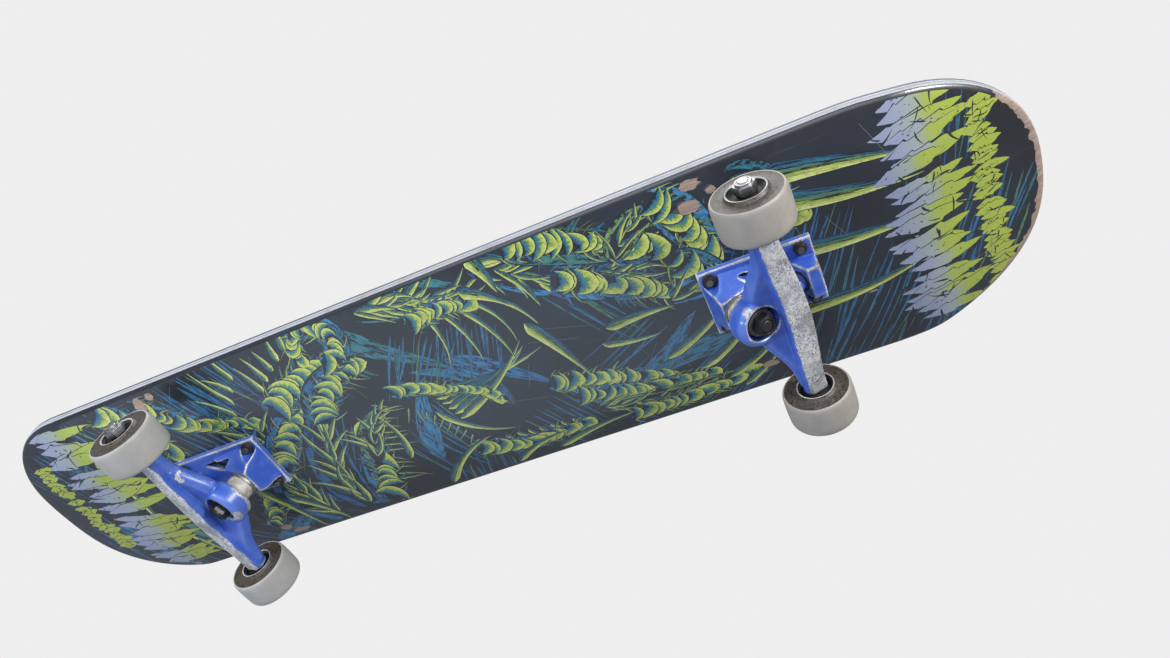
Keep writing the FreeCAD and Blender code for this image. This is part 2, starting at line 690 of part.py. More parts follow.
def bearings(name, place):
    half = "bearing_width / 2"
    outer = ring_of(name + "_outer_blank", "outer_shoulder", "bearing_radius", f"-{half}", half)
    inner = ring_of(name + "_inner_blank", "bearing_bore", "inner_shoulder", f"-{half}", half)
    keep(both_bearings(name + "_bearing_outer_rings", race(name + "_outer_race", outer)), place)
    keep(both_bearings(name + "_bearing_inner_rings", race(name + "_inner_race", inner)), place)
    shield = ring_of(name + "_shield", "shield_inner", "outer_shoulder",
                     f"{half} - shield_inset - shield_thickness", f"{half} - shield_inset")
    keep(both_bearings(name + "_bearing_shields", shield), place)
    ball = document.addObject("Part::Sphere", name + "_ball")
    ball.setExpression("Radius", bound("ball_radius"))
    count = int(value("ball_count"))
    circle_of_balls = []
    for step in range(count):
        turn = Rotation(Z_AXIS, 360 * step / count)
        circle_of_balls.append(Placement(turn.multVec(X_AXIS * value("pitch_radius")), turn))
    balls = copies(name + "_ball_row", ball, circle_of_balls)
    keep(both_bearings(name + "_bearing_balls", balls), place)


# ---------------------------------------------------------------- the whole board

deck()
hanger = hanger_shape()
for truck, turn in TRUCKS.items():
    frame = truck_place(turn)
    deck_fasteners(truck, frame)
    baseplate(truck, frame)
    pivot_cup(truck, frame)
    kingpin_stack(truck, frame)
    keep(feature(truck + "_hanger", hanger), frame)
    axle_set(truck, frame)
    for side, sign in SIDES.items():
        board_side = side if turn == 0 else ("right" if side == "left" else "left")
        wheel(f"{truck}_{board_side}", frame * wheel_place(sign))
        bearings(f"{truck}_{board_side}", frame * wheel_place(sign))
document.recompute()

for item in document.Objects:
    if {"Invalid", "Error"} & set(item.State):
        raise RuntimeError(f"{item.Label} failed: {item.State}")
os.makedirs("parts", exist_ok=True)
for node in nodes:
    shape = Part.getShape(node)
    if shape.isNull() or not shape.isValid():
        raise RuntimeError(f"{node.Label} has no valid shape")
    shape.exportStep(f"parts/{node.Label}.step")
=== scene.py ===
import math
import random

import bmesh
import bpy
import numpy as np
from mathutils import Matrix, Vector
from mathutils.geometry import delaunay_2d_cdt


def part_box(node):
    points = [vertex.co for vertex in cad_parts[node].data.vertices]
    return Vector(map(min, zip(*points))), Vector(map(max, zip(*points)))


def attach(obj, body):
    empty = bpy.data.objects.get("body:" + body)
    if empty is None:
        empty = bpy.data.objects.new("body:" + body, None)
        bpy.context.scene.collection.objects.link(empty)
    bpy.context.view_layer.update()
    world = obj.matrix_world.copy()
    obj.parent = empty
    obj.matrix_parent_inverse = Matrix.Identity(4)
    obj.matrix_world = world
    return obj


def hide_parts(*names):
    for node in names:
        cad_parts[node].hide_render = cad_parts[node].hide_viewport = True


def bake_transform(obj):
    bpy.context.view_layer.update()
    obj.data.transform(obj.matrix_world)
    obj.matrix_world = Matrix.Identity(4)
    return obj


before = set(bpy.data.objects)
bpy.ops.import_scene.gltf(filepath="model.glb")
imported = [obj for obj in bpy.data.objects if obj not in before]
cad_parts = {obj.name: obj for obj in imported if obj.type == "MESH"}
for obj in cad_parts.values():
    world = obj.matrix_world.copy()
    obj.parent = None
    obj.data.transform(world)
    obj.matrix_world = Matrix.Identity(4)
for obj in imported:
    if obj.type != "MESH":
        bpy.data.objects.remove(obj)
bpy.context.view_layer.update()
MM = 0.001

# The deck's shape, in millimetres and degrees: it is the frame's, so that each ply fits its node.
DECK_LOW, DECK_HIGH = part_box("deck_ply_1")
DECK_BOTTOM = DECK_LOW.z / MM
HALF_LENGTH = DECK_HIGH.x / MM
HALF_WIDTH = DECK_HIGH.y / MM
DECK_THICKNESS, GRIP_THICKNESS, PLY_COUNT = 11.0, 0.8, 7
PLY = (DECK_THICKNESS - GRIP_THICKNESS) / PLY_COUNT
FLAT_HALF, CONCAVE_RADIUS = 30.0, 312.0
KICK_START, KICK_BEND = 324.0, 88.0
NOSE = {"side": 1, "angle": math.radians(15.4), "taper": 293.0, "roundness": 2.3}
TAIL = {"side": -1, "angle": math.radians(11.2), "taper": 321.0, "roundness": 2.37}
BOTTOM_ROUNDOVER, TOP_ROUNDOVER = 3.6, 2.6
RIM_STEPS, PLAIN_SPACING, ART_SPACING, MERGE_DISTANCE = 3, 12.0, 8.0, 1e-4
GRIP_SINK, GRIP_INSET = 0.05, 0.2
SHARP_DECK, SHARP_TURNED, SHARP_COPY = 50, 40, 35
TRUCK_CENTRE = 225.25

# Which plies are dyed, and the colour of each ply's edge above the printed one.
EDGE_COLOURS = {2: (0.36, 0.37, 0.41), 3: (0.24, 0.26, 0.31), 4: (0.42, 0.43, 0.46),
                5: (0.09, 0.105, 0.14), 6: (0.05, 0.06, 0.085), 7: (0.11, 0.125, 0.155)}

# The photograph's view: the camera is under the board and looks up at it.
CAMERA_PLACE = (0.2339, -0.3212, (DECK_BOTTOM - 467.67) * MM)
CAMERA_TURN = (144.29, 0.03, 23.89)
CAMERA_LENS, SENSOR_WIDTH, NEAREST = 24.556, 36, 0.01

# Name, place, target, size, power, colour, and whether shiny surfaces mirror the light.
LIGHTS = (
    ("sheen", (-0.75, 0.4, -1.15), (-0.3, 0, 0.07), (2.2, 0.9), 6, (0.66, 0.82, 1.0), True),
    ("tail", (-0.85, -0.8, -0.3), (-0.24, 0, 0.03), (0.5, 0.5), 13, (0.92, 0.96, 1.0), False),
    ("fill", (0.1, -1.1, -0.7), (0, 0, 0.05), (1.4, 0.9), 11, (0.95, 0.97, 1.0), True),
    ("sun", (1.35, -0.75, -0.3), (0, 0, 0.03), (0.3, 0.3), 26, (1.0, 0.98, 0.94), True),
    ("top", (0.2, -0.5, 1.5), (0, 0, 0.05), (1.6, 1.2), 22, (1, 1, 1), True))
LIT_BY, SEEN_BEHIND, FLOOR_GREY = (0.27, 0.28, 0.31), (0.86, 0.86, 0.86), (0.72, 0.72, 0.72)
FLOOR_REACH = 4


# ---------------------------------------------------------------- camera, light and floor

def placed(name, data):
    """A new object, put in the scene."""
    made = bpy.data.objects.new(name, data)
    bpy.context.scene.collection.objects.link(made)
    return made


def camera():
    data = bpy.data.cameras.new("camera")
    data.lens = CAMERA_LENS
    data.sensor_width = SENSOR_WIDTH
    data.clip_start = NEAREST
    eye = placed("camera", data)
    eye.location = CAMERA_PLACE
    eye.rotation_euler = [math.radians(turn) for turn in CAMERA_TURN]
    bpy.context.scene.camera = eye


def softbox(name, place, target, size, power, colour, mirrored):
    data = bpy.data.lights.new(name, "AREA")
    data.shape = "RECTANGLE"
    data.size, data.size_y = size
    data.energy = power
    data.color = colour
    lamp = placed(name, data)
    lamp.location = place
    lamp.visible_glossy = mirrored
    aim = Vector(target) - Vector(place)
    lamp.rotation_euler = aim.to_track_quat("-Z", "Y").to_euler()


def studio():
    """Pale surroundings for the camera, dimmer ones for light and reflections, and softboxes."""
    world = bpy.data.worlds.new("studio")
    world.use_nodes = True
    bpy.context.scene.world = world
    tree = world.node_tree
    background = tree.nodes["Background"]
    path = tree.nodes.new("ShaderNodeLightPath")
    shade = tree.nodes.new("ShaderNodeMix")
    shade.data_type = "RGBA"
    shade.inputs[6].default_value = (*LIT_BY, 1)
    shade.inputs[7].default_value = (*SEEN_BEHIND, 1)
    tree.links.new(path.outputs["Is Camera Ray"], shade.inputs[0])
    tree.links.new(shade.outputs[2], background.inputs[0])
    for light in LIGHTS:
        softbox(*light)
    bpy.context.scene.view_settings.view_transform = "Standard"


def floor():
    """A pale floor that the wheels stand on. It is seen from above only, and it neither shades
    nor lights the board, so the view from below stays open."""
    mesh = bpy.data.meshes.new("floor")
    turns = ((-1, -1), (1, -1), (1, 1), (-1, 1))
    corners = [(x * FLOOR_REACH, y * FLOOR_REACH, 0) for x, y in turns]
    mesh.from_pydata(corners, [], [(0, 1, 2, 3)])
    ground = placed("floor", mesh)
    shader = Shader("floor", rough=0.6)
    side = shader.add("NewGeometry", output="Backfacing")
    clear = shader.add("BsdfTransparent")
    mixed = shader.add("MixShader", {0: side, 1: shader.surface.outputs[0], 2: clear})
    shader.set("Base Color", FLOOR_GREY)
    shader.feed(shader.tree.nodes["Material Output"].inputs[0], mixed)
    mesh.materials.append(shader.material)
    ground.visible_shadow = False
    ground.visible_diffuse = False
    ground.visible_glossy = False


# ---------------------------------------------------------------- materials

class Value:
    """A socket in a node tree. Arithmetic and comparisons on it add the nodes for them."""

    def __init__(self, shader, socket):
        self.shader = shader
        self.socket = socket

    def __add__(self, other):
        return self.shader.math("ADD", self, other)

    def __sub__(self, other):
        return self.shader.math("SUBTRACT", self, other)

    def __rsub__(self, other):
        return self.shader.math("SUBTRACT", other, self)

    def __mul__(self, other):
        return self.shader.math("MULTIPLY", self, other)

    def __gt__(self, other):
        return self.shader.math("GREATER_THAN", self, other)

    def __lt__(self, other):
        return self.shader.math("LESS_THAN", self, other)

    def __abs__(self):
        return self.shader.math("ABSOLUTE", self)


class Shader:
    """A short way to write a material's node tree."""

    def __init__(self, name, rough=0.5, metal=0.0, coat=0.0):
        self.material = bpy.data.materials.new(name)
        self.material.use_nodes = True
        self.tree = self.material.node_tree
        self.surface = self.tree.nodes["Principled BSDF"]
        self.set("Roughness", rough)
        self.set("Metallic", metal)
        self.set("Coat Weight", coat)

    def set(self, socket, source):
        self.feed(self.surface.inputs[socket], source)

    def feed(self, socket, source):
        source = source.socket if isinstance(source, Value) else source
        if isinstance(source, bpy.types.NodeSocket):
            self.tree.links.new(source, socket)
        elif socket.type == "RGBA" and len(source) == 3:
            socket.default_value = (*source, 1)
        else:
            socket.default_value = source

    def add(self, kind, inputs=None, output=0, **settings):
        made = self.tree.nodes.new("ShaderNode" + kind)
        for key, setting in settings.items():
            setattr(made, key, setting)
        for key, source in (inputs or {}).items():
            self.feed(made.inputs[key], source)
        return Value(self, made.outputs[output])

    def math(self, operation, first, second=0.0, third=0.0, clamp=False):
        return self.add("Math", {0: first, 1: second, 2: third}, operation=operation,
                        use_clamp=clamp)

    def most(self, first, second):
        return self.math("MAXIMUM", first, second)

    def mix(self, factor, first, second):
        return self.add("Mix", {0: factor, 6: first, 7: second}, output=2, data_type="RGBA")

    def ramp(self, factor, stops):
        """Colours or grey levels against a factor; stops are (place, colour or level)."""
        made = self.tree.nodes.new("ShaderNodeValToRGB")
        elements = made.color_ramp.elements
        while len(elements) < len(stops):
            elements.new(0.5)
        for element, (place, shade) in zip(elements, stops):
            element.position = place
            tint = (shade,) * 3 if isinstance(shade, (int, float)) else shade
            element.color = (*tint, 1)
        self.feed(made.inputs[0], factor)
        return Value(self, made.outputs[0])

    def step(self, value, threshold, softness):
        """0 below a threshold and 1 above it, over a short slope."""
        return self.math("MULTIPLY_ADD", value, 1 / softness, 0.5 - threshold / softness,
                         clamp=True)

    def split(self, vector):
        parts = self.tree.nodes.new("ShaderNodeSeparateXYZ")
        self.feed(parts.inputs[0], vector)
        return [Value(self, part) for part in parts.outputs]

    def spread(self, *parts):
        """A place for noise, from three values, each with how far it is stretched."""
        return self.add("CombineXYZ", {axis: value * stretch
                                       for axis, (value, stretch) in enumerate(parts)})

    def where(self):
        return self.add("TexCoord", output="Object")

    def stretched(self, scale):
        return self.add("Mapping", {"Vector": self.where(), "Scale": scale})

    def noise(self, scale, detail=3.0, rough=0.5, at=None):
        return self.add("TexNoise", {"Vector": at or self.where(), "Scale": scale,
                                     "Detail": detail, "Roughness": rough})

    def mottle(self, scale, detail, rough, start, end, level=1.0):
        """Noise as patches: nothing below start, and level from end up."""
        return self.ramp(self.noise(scale, detail, rough), [(start, 0.0), (end, level)])

    def flecks(self, scale, detail, rough, threshold, softness):
        return self.step(self.noise(scale, detail, rough), threshold, softness)

    def bump(self, height, strength, distance):
        self.set("Normal", self.add("Bump", {"Height": height, "Strength": strength,
                                             "Distance": distance}))

    def attribute(self, name, output="Fac"):
        return self.add("Attribute", output=output, attribute_name=name)


# ---------------------------------------------------------------- meshes

def new_piece(name, points, faces, material):
    """A piece from points in millimetres."""
    mesh = bpy.data.meshes.new(name)
    mesh.from_pydata((np.asarray(points, float) * MM).tolist(), [], faces)
    mesh.materials.append(material)
    piece = placed(name, mesh)
    return piece


def smooth(piece, sharp):
    """Smooth shading, but for edges sharper than an angle in degrees."""
    piece.data.shade_smooth()
    piece.data.set_sharp_from_angle(angle=math.radians(sharp))


def wall(low, high):
    """Faces between two closed rows of points."""
    after = [*range(1, len(low)), 0]
    return [(low[here], low[there], high[there], high[here]) for here, there in enumerate(after)]


def store(mesh, name, values, domain="POINT"):
    vectors = np.ndim(values) == 2
    layer = mesh.attributes.new(name, "FLOAT_VECTOR" if vectors else "FLOAT", domain)
    layer.data.foreach_set("vector" if vectors else "value",
                           np.asarray(values, np.float32).reshape(-1))


# ---------------------------------------------------------------- the deck's surface

def deck_height(x, y, offset):
    """How high the deck's surface is at a place in plan, for a layer that lies offset above the
    bottom face: flat in the middle, up in an arc to each side, and up the kicks at the ends."""
    aside = np.maximum(np.abs(y) - FLAT_HALF, 0)
    radius = CONCAVE_RADIUS - offset
    rise = CONCAVE_RADIUS - np.sqrt(radius ** 2 - aside ** 2)
    beyond = np.abs(x) - KICK_START
    angle = np.where(x > 0, NOSE["angle"], TAIL["angle"])
    bend = KICK_BEND - rise
    in_bend = KICK_BEND - np.sqrt(np.maximum(bend ** 2 - beyond ** 2, 0))
    on_kick = KICK_BEND - bend * np.cos(angle) + (beyond - bend * np.sin(angle)) * np.tan(angle)
    past = np.where(beyond < bend * np.sin(angle), in_bend, on_kick)
    return DECK_BOTTOM + np.where(beyond <= 0, rise, past)


def on_deck(plan, offset):
    plan = np.asarray(plan, float)
    height = deck_height(plan[:, 0], plan[:, 1], offset)
    return np.column_stack([plan, height])


def end_arc(end, steps=44):
    """The rounded end of the outline, from the right side to the left."""
    span = HALF_LENGTH - end["taper"]
    power = 2 / end["roundness"]
    turns = np.linspace(-math.pi / 2, math.pi / 2, steps + 1)
    along = np.abs(np.cos(turns)) ** power
    across = np.sign(np.sin(turns)) * np.abs(np.sin(turns)) ** power
    return np.column_stack([end["side"] * (end["taper"] + span * along), across * HALF_WIDTH])


def outline():
    """The deck's outline in plan, anticlockwise, with its outward normals."""
    sides = 40
    nose, tail = end_arc(NOSE), end_arc(TAIL)[::-1]
    left = np.linspace(nose[-1], tail[0], sides + 1)[1:-1]
    right = np.linspace(tail[-1], nose[0], sides + 1)[1:-1]
    points = np.vstack([nose, left, tail, right])
    along = np.roll(points, -1, 0) - np.roll(points, 1, 0)
    normals = np.column_stack([along[:, 1], -along[:, 0]])
    return points, normals / np.linalg.norm(normals, axis=1)[:, None]


def inset(offset):
    """How far the rounded edge stands in from the outline at a height above the bottom face."""
    wood = DECK_THICKNESS - GRIP_THICKNESS
    low = max(BOTTOM_ROUNDOVER - offset, 0)
    high = max(offset - (wood - TOP_ROUNDOVER), 0)
    from_low = BOTTOM_ROUNDOVER - math.sqrt(BOTTOM_ROUNDOVER ** 2 - low ** 2)
    high = min(high, TOP_ROUNDOVER)
    from_high = TOP_ROUNDOVER - math.sqrt(TOP_ROUNDOVER ** 2 - high ** 2)
    return from_low + from_high


def filled(loop, shapes, spacing):
    """Triangles inside a loop, with extra points so that they follow the deck's curves. Returns
    the points, the triangles and the top shape that each triangle lies in, or -1."""
    points = [Vector(point) for point in loop]
    faces = [list(range(len(loop)))]
    for shape in shapes:
        faces.append(list(range(len(points), len(points) + len(shape))))
        points.extend(Vector(point) for point in shape)
    for x in np.arange(-HALF_LENGTH + spacing / 2, HALF_LENGTH, spacing):
        for y in np.arange(-HALF_WIDTH + spacing / 2, HALF_WIDTH, spacing):
            points.append(Vector((x, y)))
    made, _, found, _, _, origins = delaunay_2d_cdt(points, [], faces, 1, MERGE_DISTANCE)
    triangles, tops = [], []
    for face, origin in zip(found, origins):
        if 0 in origin:
            triangles.append(list(face))
            tops.append(max(origin) - 1)
    places = np.array([tuple(point) for point in made])
    used = np.unique(np.array(triangles))
    order = np.full(len(places), -1)
    order[used] = np.arange(len(used))
    return places[used], order[np.array(triangles)], np.array(tops)


def border(triangles):
    """The points along the triangles' outer border, in order."""
    edges = np.vstack([triangles[:, [0, 1]], triangles[:, [1, 2]], triangles[:, [2, 0]]])
    there = {(a, b) for a, b in edges.tolist()}
    after = {a: b for a, b in there if (b, a) not in there}
    start = min(after)
    chain = [start]
    while after[chain[-1]] != start:
        chain.append(after[chain[-1]])
    return chain


def outward(points, ring, normals):
    """The outline's normal at each point near it, read between the nearest outline points."""
    after = np.roll(ring, -1, 0) - ring
    length = (after ** 2).sum(1)
    found = []
    for point in points:
        share = np.clip(((point - ring) * after).sum(1) / length, 0, 1)
        gap = ((ring + after * share[:, None] - point) ** 2).sum(1)
        best = int(np.argmin(gap))
        mixed = normals[best] * (1 - share[best]) + normals[(best + 1) % len(ring)] * share[best]
        found.append(mixed / np.linalg.norm(mixed))
    return np.array(found)


def layer_piece(name, low, high, material, shapes=(), spacing=PLAIN_SPACING,
                extra_inset=0.0):
    """One layer of the deck with its rounded rim: bottom face, rim, top face, all closed."""
    ring, normals = outline()
    start = ring - normals * (inset(low) + extra_inset)
    plan, triangles, tops = filled(start, shapes, spacing)
    chain = border(triangles)
    edge_normals = outward(plan[chain], start, normals)
    points = [on_deck(plan, low)]
    faces = [tuple(triangle[::-1]) for triangle in triangles.tolist()]
    before = chain
    count = len(plan)
    for step in range(1, RIM_STEPS + 1):
        offset = low + (high - low) * step / RIM_STEPS
        shift = inset(low) - inset(offset)
        rim = plan[chain] + edge_normals * shift
        points.append(on_deck(rim, offset))
        now = list(range(count, count + len(chain)))
        count += len(chain)
        faces += wall(before, now)
        before = now
    top_plan, top_triangles, _ = filled(rim, (), spacing)
    inner = top_plan[len(rim):]
    remap = np.concatenate([np.array(before), np.arange(count, count + len(inner))])
    points.append(on_deck(inner, high))
    faces.extend(tuple(remap[triangle]) for triangle in top_triangles)
    piece = new_piece(name, np.vstack(points), [tuple(map(int, f)) for f in faces], material)
    smooth(piece, SHARP_DECK)
    return piece, plan, triangles, tops


def on_deck_body(piece, node):
    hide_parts(node)
    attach(piece, "deck")


def deck():
    art = deck_art()
    first, plan, triangles, tops = layer_piece(
        "printed_ply", 0, PLY, printed_face(),
        [shape["outline"] for shape in art], ART_SPACING)
    paint(first.data, plan, triangles, tops, art)
    on_deck_body(first, "deck_ply_1")
    for number, colour in EDGE_COLOURS.items():
        low = (number - 1) * PLY
        piece = layer_piece(f"ply_{number}", low, low + PLY, ply_edge(f"ply_{number}", colour))[0]
        on_deck_body(piece, f"deck_ply_{number}")
    wood = DECK_THICKNESS - GRIP_THICKNESS
    grip = layer_piece("grip", wood, DECK_THICKNESS - GRIP_SINK, grip_material(),
                       extra_inset=GRIP_INSET)[0]
    on_deck_body(grip, "grip_tape")


# ---------------------------------------------------------------- the printed art
# Generic flame-like blades, banded curls and shards; places are in millimetres in plan.

GROUND, BLADE, SEGMENT, STROKE, SHARD, THORN, CHIP, SCRATCH, WORN = range(9)
ART_SEED, BRUSH_DENSITY, BAND_DENSITY, BAND_STEPS, SCRATCH_COUNT = 11, 1.7, 1.5, 60, 90
BRUSH_WIDTH, BRUSH_SPREAD, BRUSH_CLOSENESS = 2.7, 6.0, 1.6
CHIP_CORNERS, CHIP_RAGGED = 22, 0.3
WORN_REACH, WORN_OUTSIDE = 4.2, 3.0


def toward(heading):
    """The direction of a heading in degrees."""
    return np.array([math.cos(math.radians(heading)), math.sin(math.radians(heading))])


def heading_of(direction):
    return math.degrees(math.atan2(direction[1], direction[0]))


def curl(start, heading, length, bend=0.0, sway=0.0, steps=26):
    """A line from a point, at a heading, that turns by bend and sways by a half wave; degrees."""
    points = [np.array(start, float)]
    for step in range(steps):
        share = (step + 0.5) / steps
        turn = heading + bend * share + sway * math.sin(2 * math.pi * share)
        points.append(points[-1] + toward(turn) * length / steps)
    return np.array(points)


def spine_frame(spine):
    along = np.gradient(spine, axis=0)
    along /= np.linalg.norm(along, axis=1)[:, None]
    return along, np.column_stack([-along[:, 1], along[:, 0]])


def strip(spine, left, right, kind, seed):
    """A shape that follows a spine, with a width to each side of it."""
    aside = spine_frame(spine)[1]
    edges = [spine - aside * right[:, None], (spine + aside * left[:, None])[::-1]]
    return {"outline": np.vstack(edges), "spine": spine, "widths": (left, right),
            "kind": kind, "seed": seed}


def blade(dice, start, heading, length, width, bend=0.0, sway=0.0, kind=BLADE, swell=0.12,
          steps=26):
    """A tapered blade: it swells near its root and ends in a point."""
    spine = curl(start, heading, length, bend, sway, steps)
    share = np.linspace(0, 1, len(spine))
    rise = np.minimum(share / swell, 1) ** 0.6
    widths = np.maximum(width / 2 * rise * (1 - share) ** 0.75, 0.1)
    return [strip(spine, widths, widths, kind, dice.random())]


def crescents(dice, spine, length, width, count, taper):
    """Overlapping crescents along a line, each with its front over the next, and a fringe."""
    along, aside = spine_frame(spine)
    span = np.linspace(-1, 1, 11)
    shapes = fringe(dice, spine, along, width, taper, int(length / 4.5))
    for number in range(count - 1, -1, -1):
        index = int((number + 0.5) / count * (len(spine) - 1))
        half = width / 2 * (1 - taper * number / count) * dice.uniform(0.55, 1.2)
        reach = length / count * dice.uniform(0.9, 2.2)
        lean = dice.uniform(-0.9, 0.9)
        front = (1 - np.abs(span) ** dice.uniform(1.1, 2.0) + lean * span) * reach * 0.62
        middle = (spine[index] + aside[index] * (span * half)[:, None]
                  + along[index] * front[:, None])
        widths = np.maximum((1 - np.abs(span) ** 2.2) * reach * 0.56, 0.12)
        shapes.append(strip(middle, widths, widths, SEGMENT, dice.random()))
    return shapes


def shade(dice, spine, width, taper):
    """Broad blue streaks under a band, off to one side, and a dark core."""
    share = np.linspace(0, 1, len(spine))
    body = np.sin(math.pi * np.clip(share * 0.94 + 0.03, 0, 1)) ** 0.4
    half = width * (1 - taper * share) * body * dice.uniform(0.6, 0.8)
    lean = dice.uniform(0.6, 1.4)
    blue = strip(spine, half * lean, half * (2 - lean), STROKE, dice.random())
    core = strip(spine, half * 0.62, half * 0.62, GROUND, dice.random())
    return [blue, core]


def plumes(dice, spine, width, count, taper):
    """Curved plumes that sweep off both sides of a line, each over the next."""
    along = spine_frame(spine)[0]
    shapes = []
    for number in range(count - 1, -1, -1):
        share = (number + dice.random()) / count
        index = int(share * (len(spine) - 1))
        ahead = heading_of(along[index])
        size = width * (1 - taper * share)
        for side in (-1, 1):
            shapes += blade(dice, spine[index], ahead + side * dice.uniform(8, 44),
                            size * dice.uniform(0.9, 1.7), size * dice.uniform(0.2, 0.42),
                            side * dice.uniform(-80, 40), 0, BLADE, 0.32, 14)
    return shapes


def fringe(dice, spine, along, width, taper, count):
    """Short blades that lean off both sides of a band."""
    shapes = []
    for number in range(count):
        share = (number + dice.random()) / count
        index = int(share * (len(spine) - 1))
        ahead = heading_of(along[index])
        for side in (-1, 1):
            turn = ahead + side * dice.uniform(38, 76)
            aside = toward(ahead + 90 * side) * (width * 0.3 * (1 - taper * share))
            shapes += blade(dice, spine[index] + aside, turn, width * dice.uniform(0.3, 0.75),
                            dice.uniform(1.6, 4.2), -side * dice.uniform(10, 60), 0,
                            dice.choice((BLADE, BLADE, STROKE)), 0.2, 8)
    return shapes


def fan(dice, start, headings, length, width, bend, step):
    """Several blades from places in a row."""
    shapes = []
    for number, heading in enumerate(headings):
        root = (start[0] + step[0] * number, start[1] + step[1] * number)
        shapes += blade(dice, root, heading, length * dice.uniform(0.8, 1.15),
                        width * dice.uniform(0.85, 1.2), bend * dice.uniform(0.7, 1.3))
    return shapes


def spikes(dice, start, heading, length, bend, count, lean, size, width):
    """Spikes that stand along a line."""
    spine = curl(start, heading, length, bend, 0, count)
    along = spine_frame(spine)[0]
    shapes = []
    for root, ahead in zip(spine, along):
        turn = heading_of(ahead) + lean + dice.uniform(-8, 8)
        shapes += blade(dice, root, turn, size * dice.uniform(0.7, 1.25), width,
                        dice.uniform(-30, 30))
    return shapes


def shard(dice, start, heading, length, width, kind):
    """A thorny shard that is pointed at both ends, with a few teeth on each side."""
    spine = curl(start, heading, length, dice.uniform(-16, 16), dice.uniform(-8, 8), 48)
    share = np.linspace(0, 1, len(spine))
    body = np.minimum(np.minimum(share / 0.3, (1 - share) / 0.36), 1) ** 0.8

    def side():
        teeth, phase = dice.uniform(2.0, 4.5), dice.random()
        notch = 0.7 + 0.3 * ((share * teeth + phase) % 1) ** 1.5
        return np.maximum(width / 2 * body * notch, 0.08)

    return [strip(spine, side(), side(), kind, dice.random())]


def chip(dice, centre, size):
    """A ragged spot that shows bare wood."""
    turns = np.linspace(0, 2 * math.pi, CHIP_CORNERS, endpoint=False)
    reach = np.array([1 + dice.uniform(-CHIP_RAGGED, CHIP_RAGGED) for _ in turns])
    points = np.column_stack([np.cos(turns) * size[0], np.sin(turns) * size[1]]) * reach[:, None]
    return [{"outline": points + np.array(centre), "spine": None, "kind": CHIP,
             "seed": dice.random(), "centre": np.array(centre), "size": np.array(size),
             "widths": (0, 0)}]


def brush(dice, start, heading, length, count, gap):
    """Loose strokes side by side, as a dry brush leaves."""
    turn = math.radians(heading + 90)
    shapes = []
    for number in range(count):
        shift = (number - count / 2) * gap + dice.uniform(-gap, gap) * 0.4
        slide = dice.uniform(-0.25, 0.25) * length
        root = (start[0] + math.cos(turn) * shift + math.cos(turn - math.pi / 2) * slide,
                start[1] + math.sin(turn) * shift + math.sin(turn - math.pi / 2) * slide)
        shapes += blade(dice, root, heading + dice.uniform(-BRUSH_SPREAD, BRUSH_SPREAD),
                        length * dice.uniform(0.5, 1.1), BRUSH_WIDTH * dice.uniform(0.4, 1.5),
                        dice.uniform(-8, 8), 0, STROKE, 0.4)
    return shapes


# Start, heading, length, how many strokes and the gap between them.
BRUSHWORK = (
    ((-385, -60), 60, 60, 12, 6), ((-392, 20), 75, 70, 10, 6), ((-345, 70), 60, 60, 12, 7),
    ((-330, -70), 55, 80, 9, 8), ((-250, -60), 60, 90, 12, 7), ((-240, 60), 50, 80, 12, 8),
    ((-200, -85), 62, 60, 16, 4), ((-120, -10), 120, 60, 7, 8), ((-60, 20), 70, 70, 8, 7),
    ((-20, -45), 125, 60, 9, 6), ((20, -50), 115, 55, 9, 5), ((40, 45), 60, 60, 9, 7),
    ((-30, 70), 100, 50, 8, 6), ((110, -60), 60, 70, 9, 7), ((150, 20), 150, 90, 9, 8),
    ((230, -50), 118, 60, 8, 9), ((268, -45), 118, 80, 9, 7), ((300, 10), 118, 95, 10, 7),
    ((285, 75), 118, 60, 7, 8), ((345, 60), 118, 60, 9, 6), ((365, -75), 110, 50, 9, 6),
    ((395, 0), 118, 80, 8, 6), ((190, 70), 140, 60, 9, 7))

# Start, heading, length, width and bend of the broad blue washes under the rest.
WASHES = (
    ((-372, 20), 50, 90, 34, 40), ((-352, -88), 70, 90, 30, 30), ((-318, 30), 40, 80, 30, 60),
    ((-250, 92), -20, 90, 26, -20), ((-60, 60), -100, 90, 28, 60), ((20, 30), -110, 90, 26, -50),
    ((-10, -30), 20, 90, 24, 40), ((120, 60), -60, 80, 24, 30), ((150, -30), -100, 60, 24, 40),
    ((-220, -30), 80, 80, 30, -40), ((344, 90), -70, 60, 16, 10), ((352, -60), -120, 50, 16, 10),
    ((-130, 90), -140, 90, 26, -30), ((-90, -90), 30, 110, 26, 20), ((210, 30), 160, 100, 26, 20))

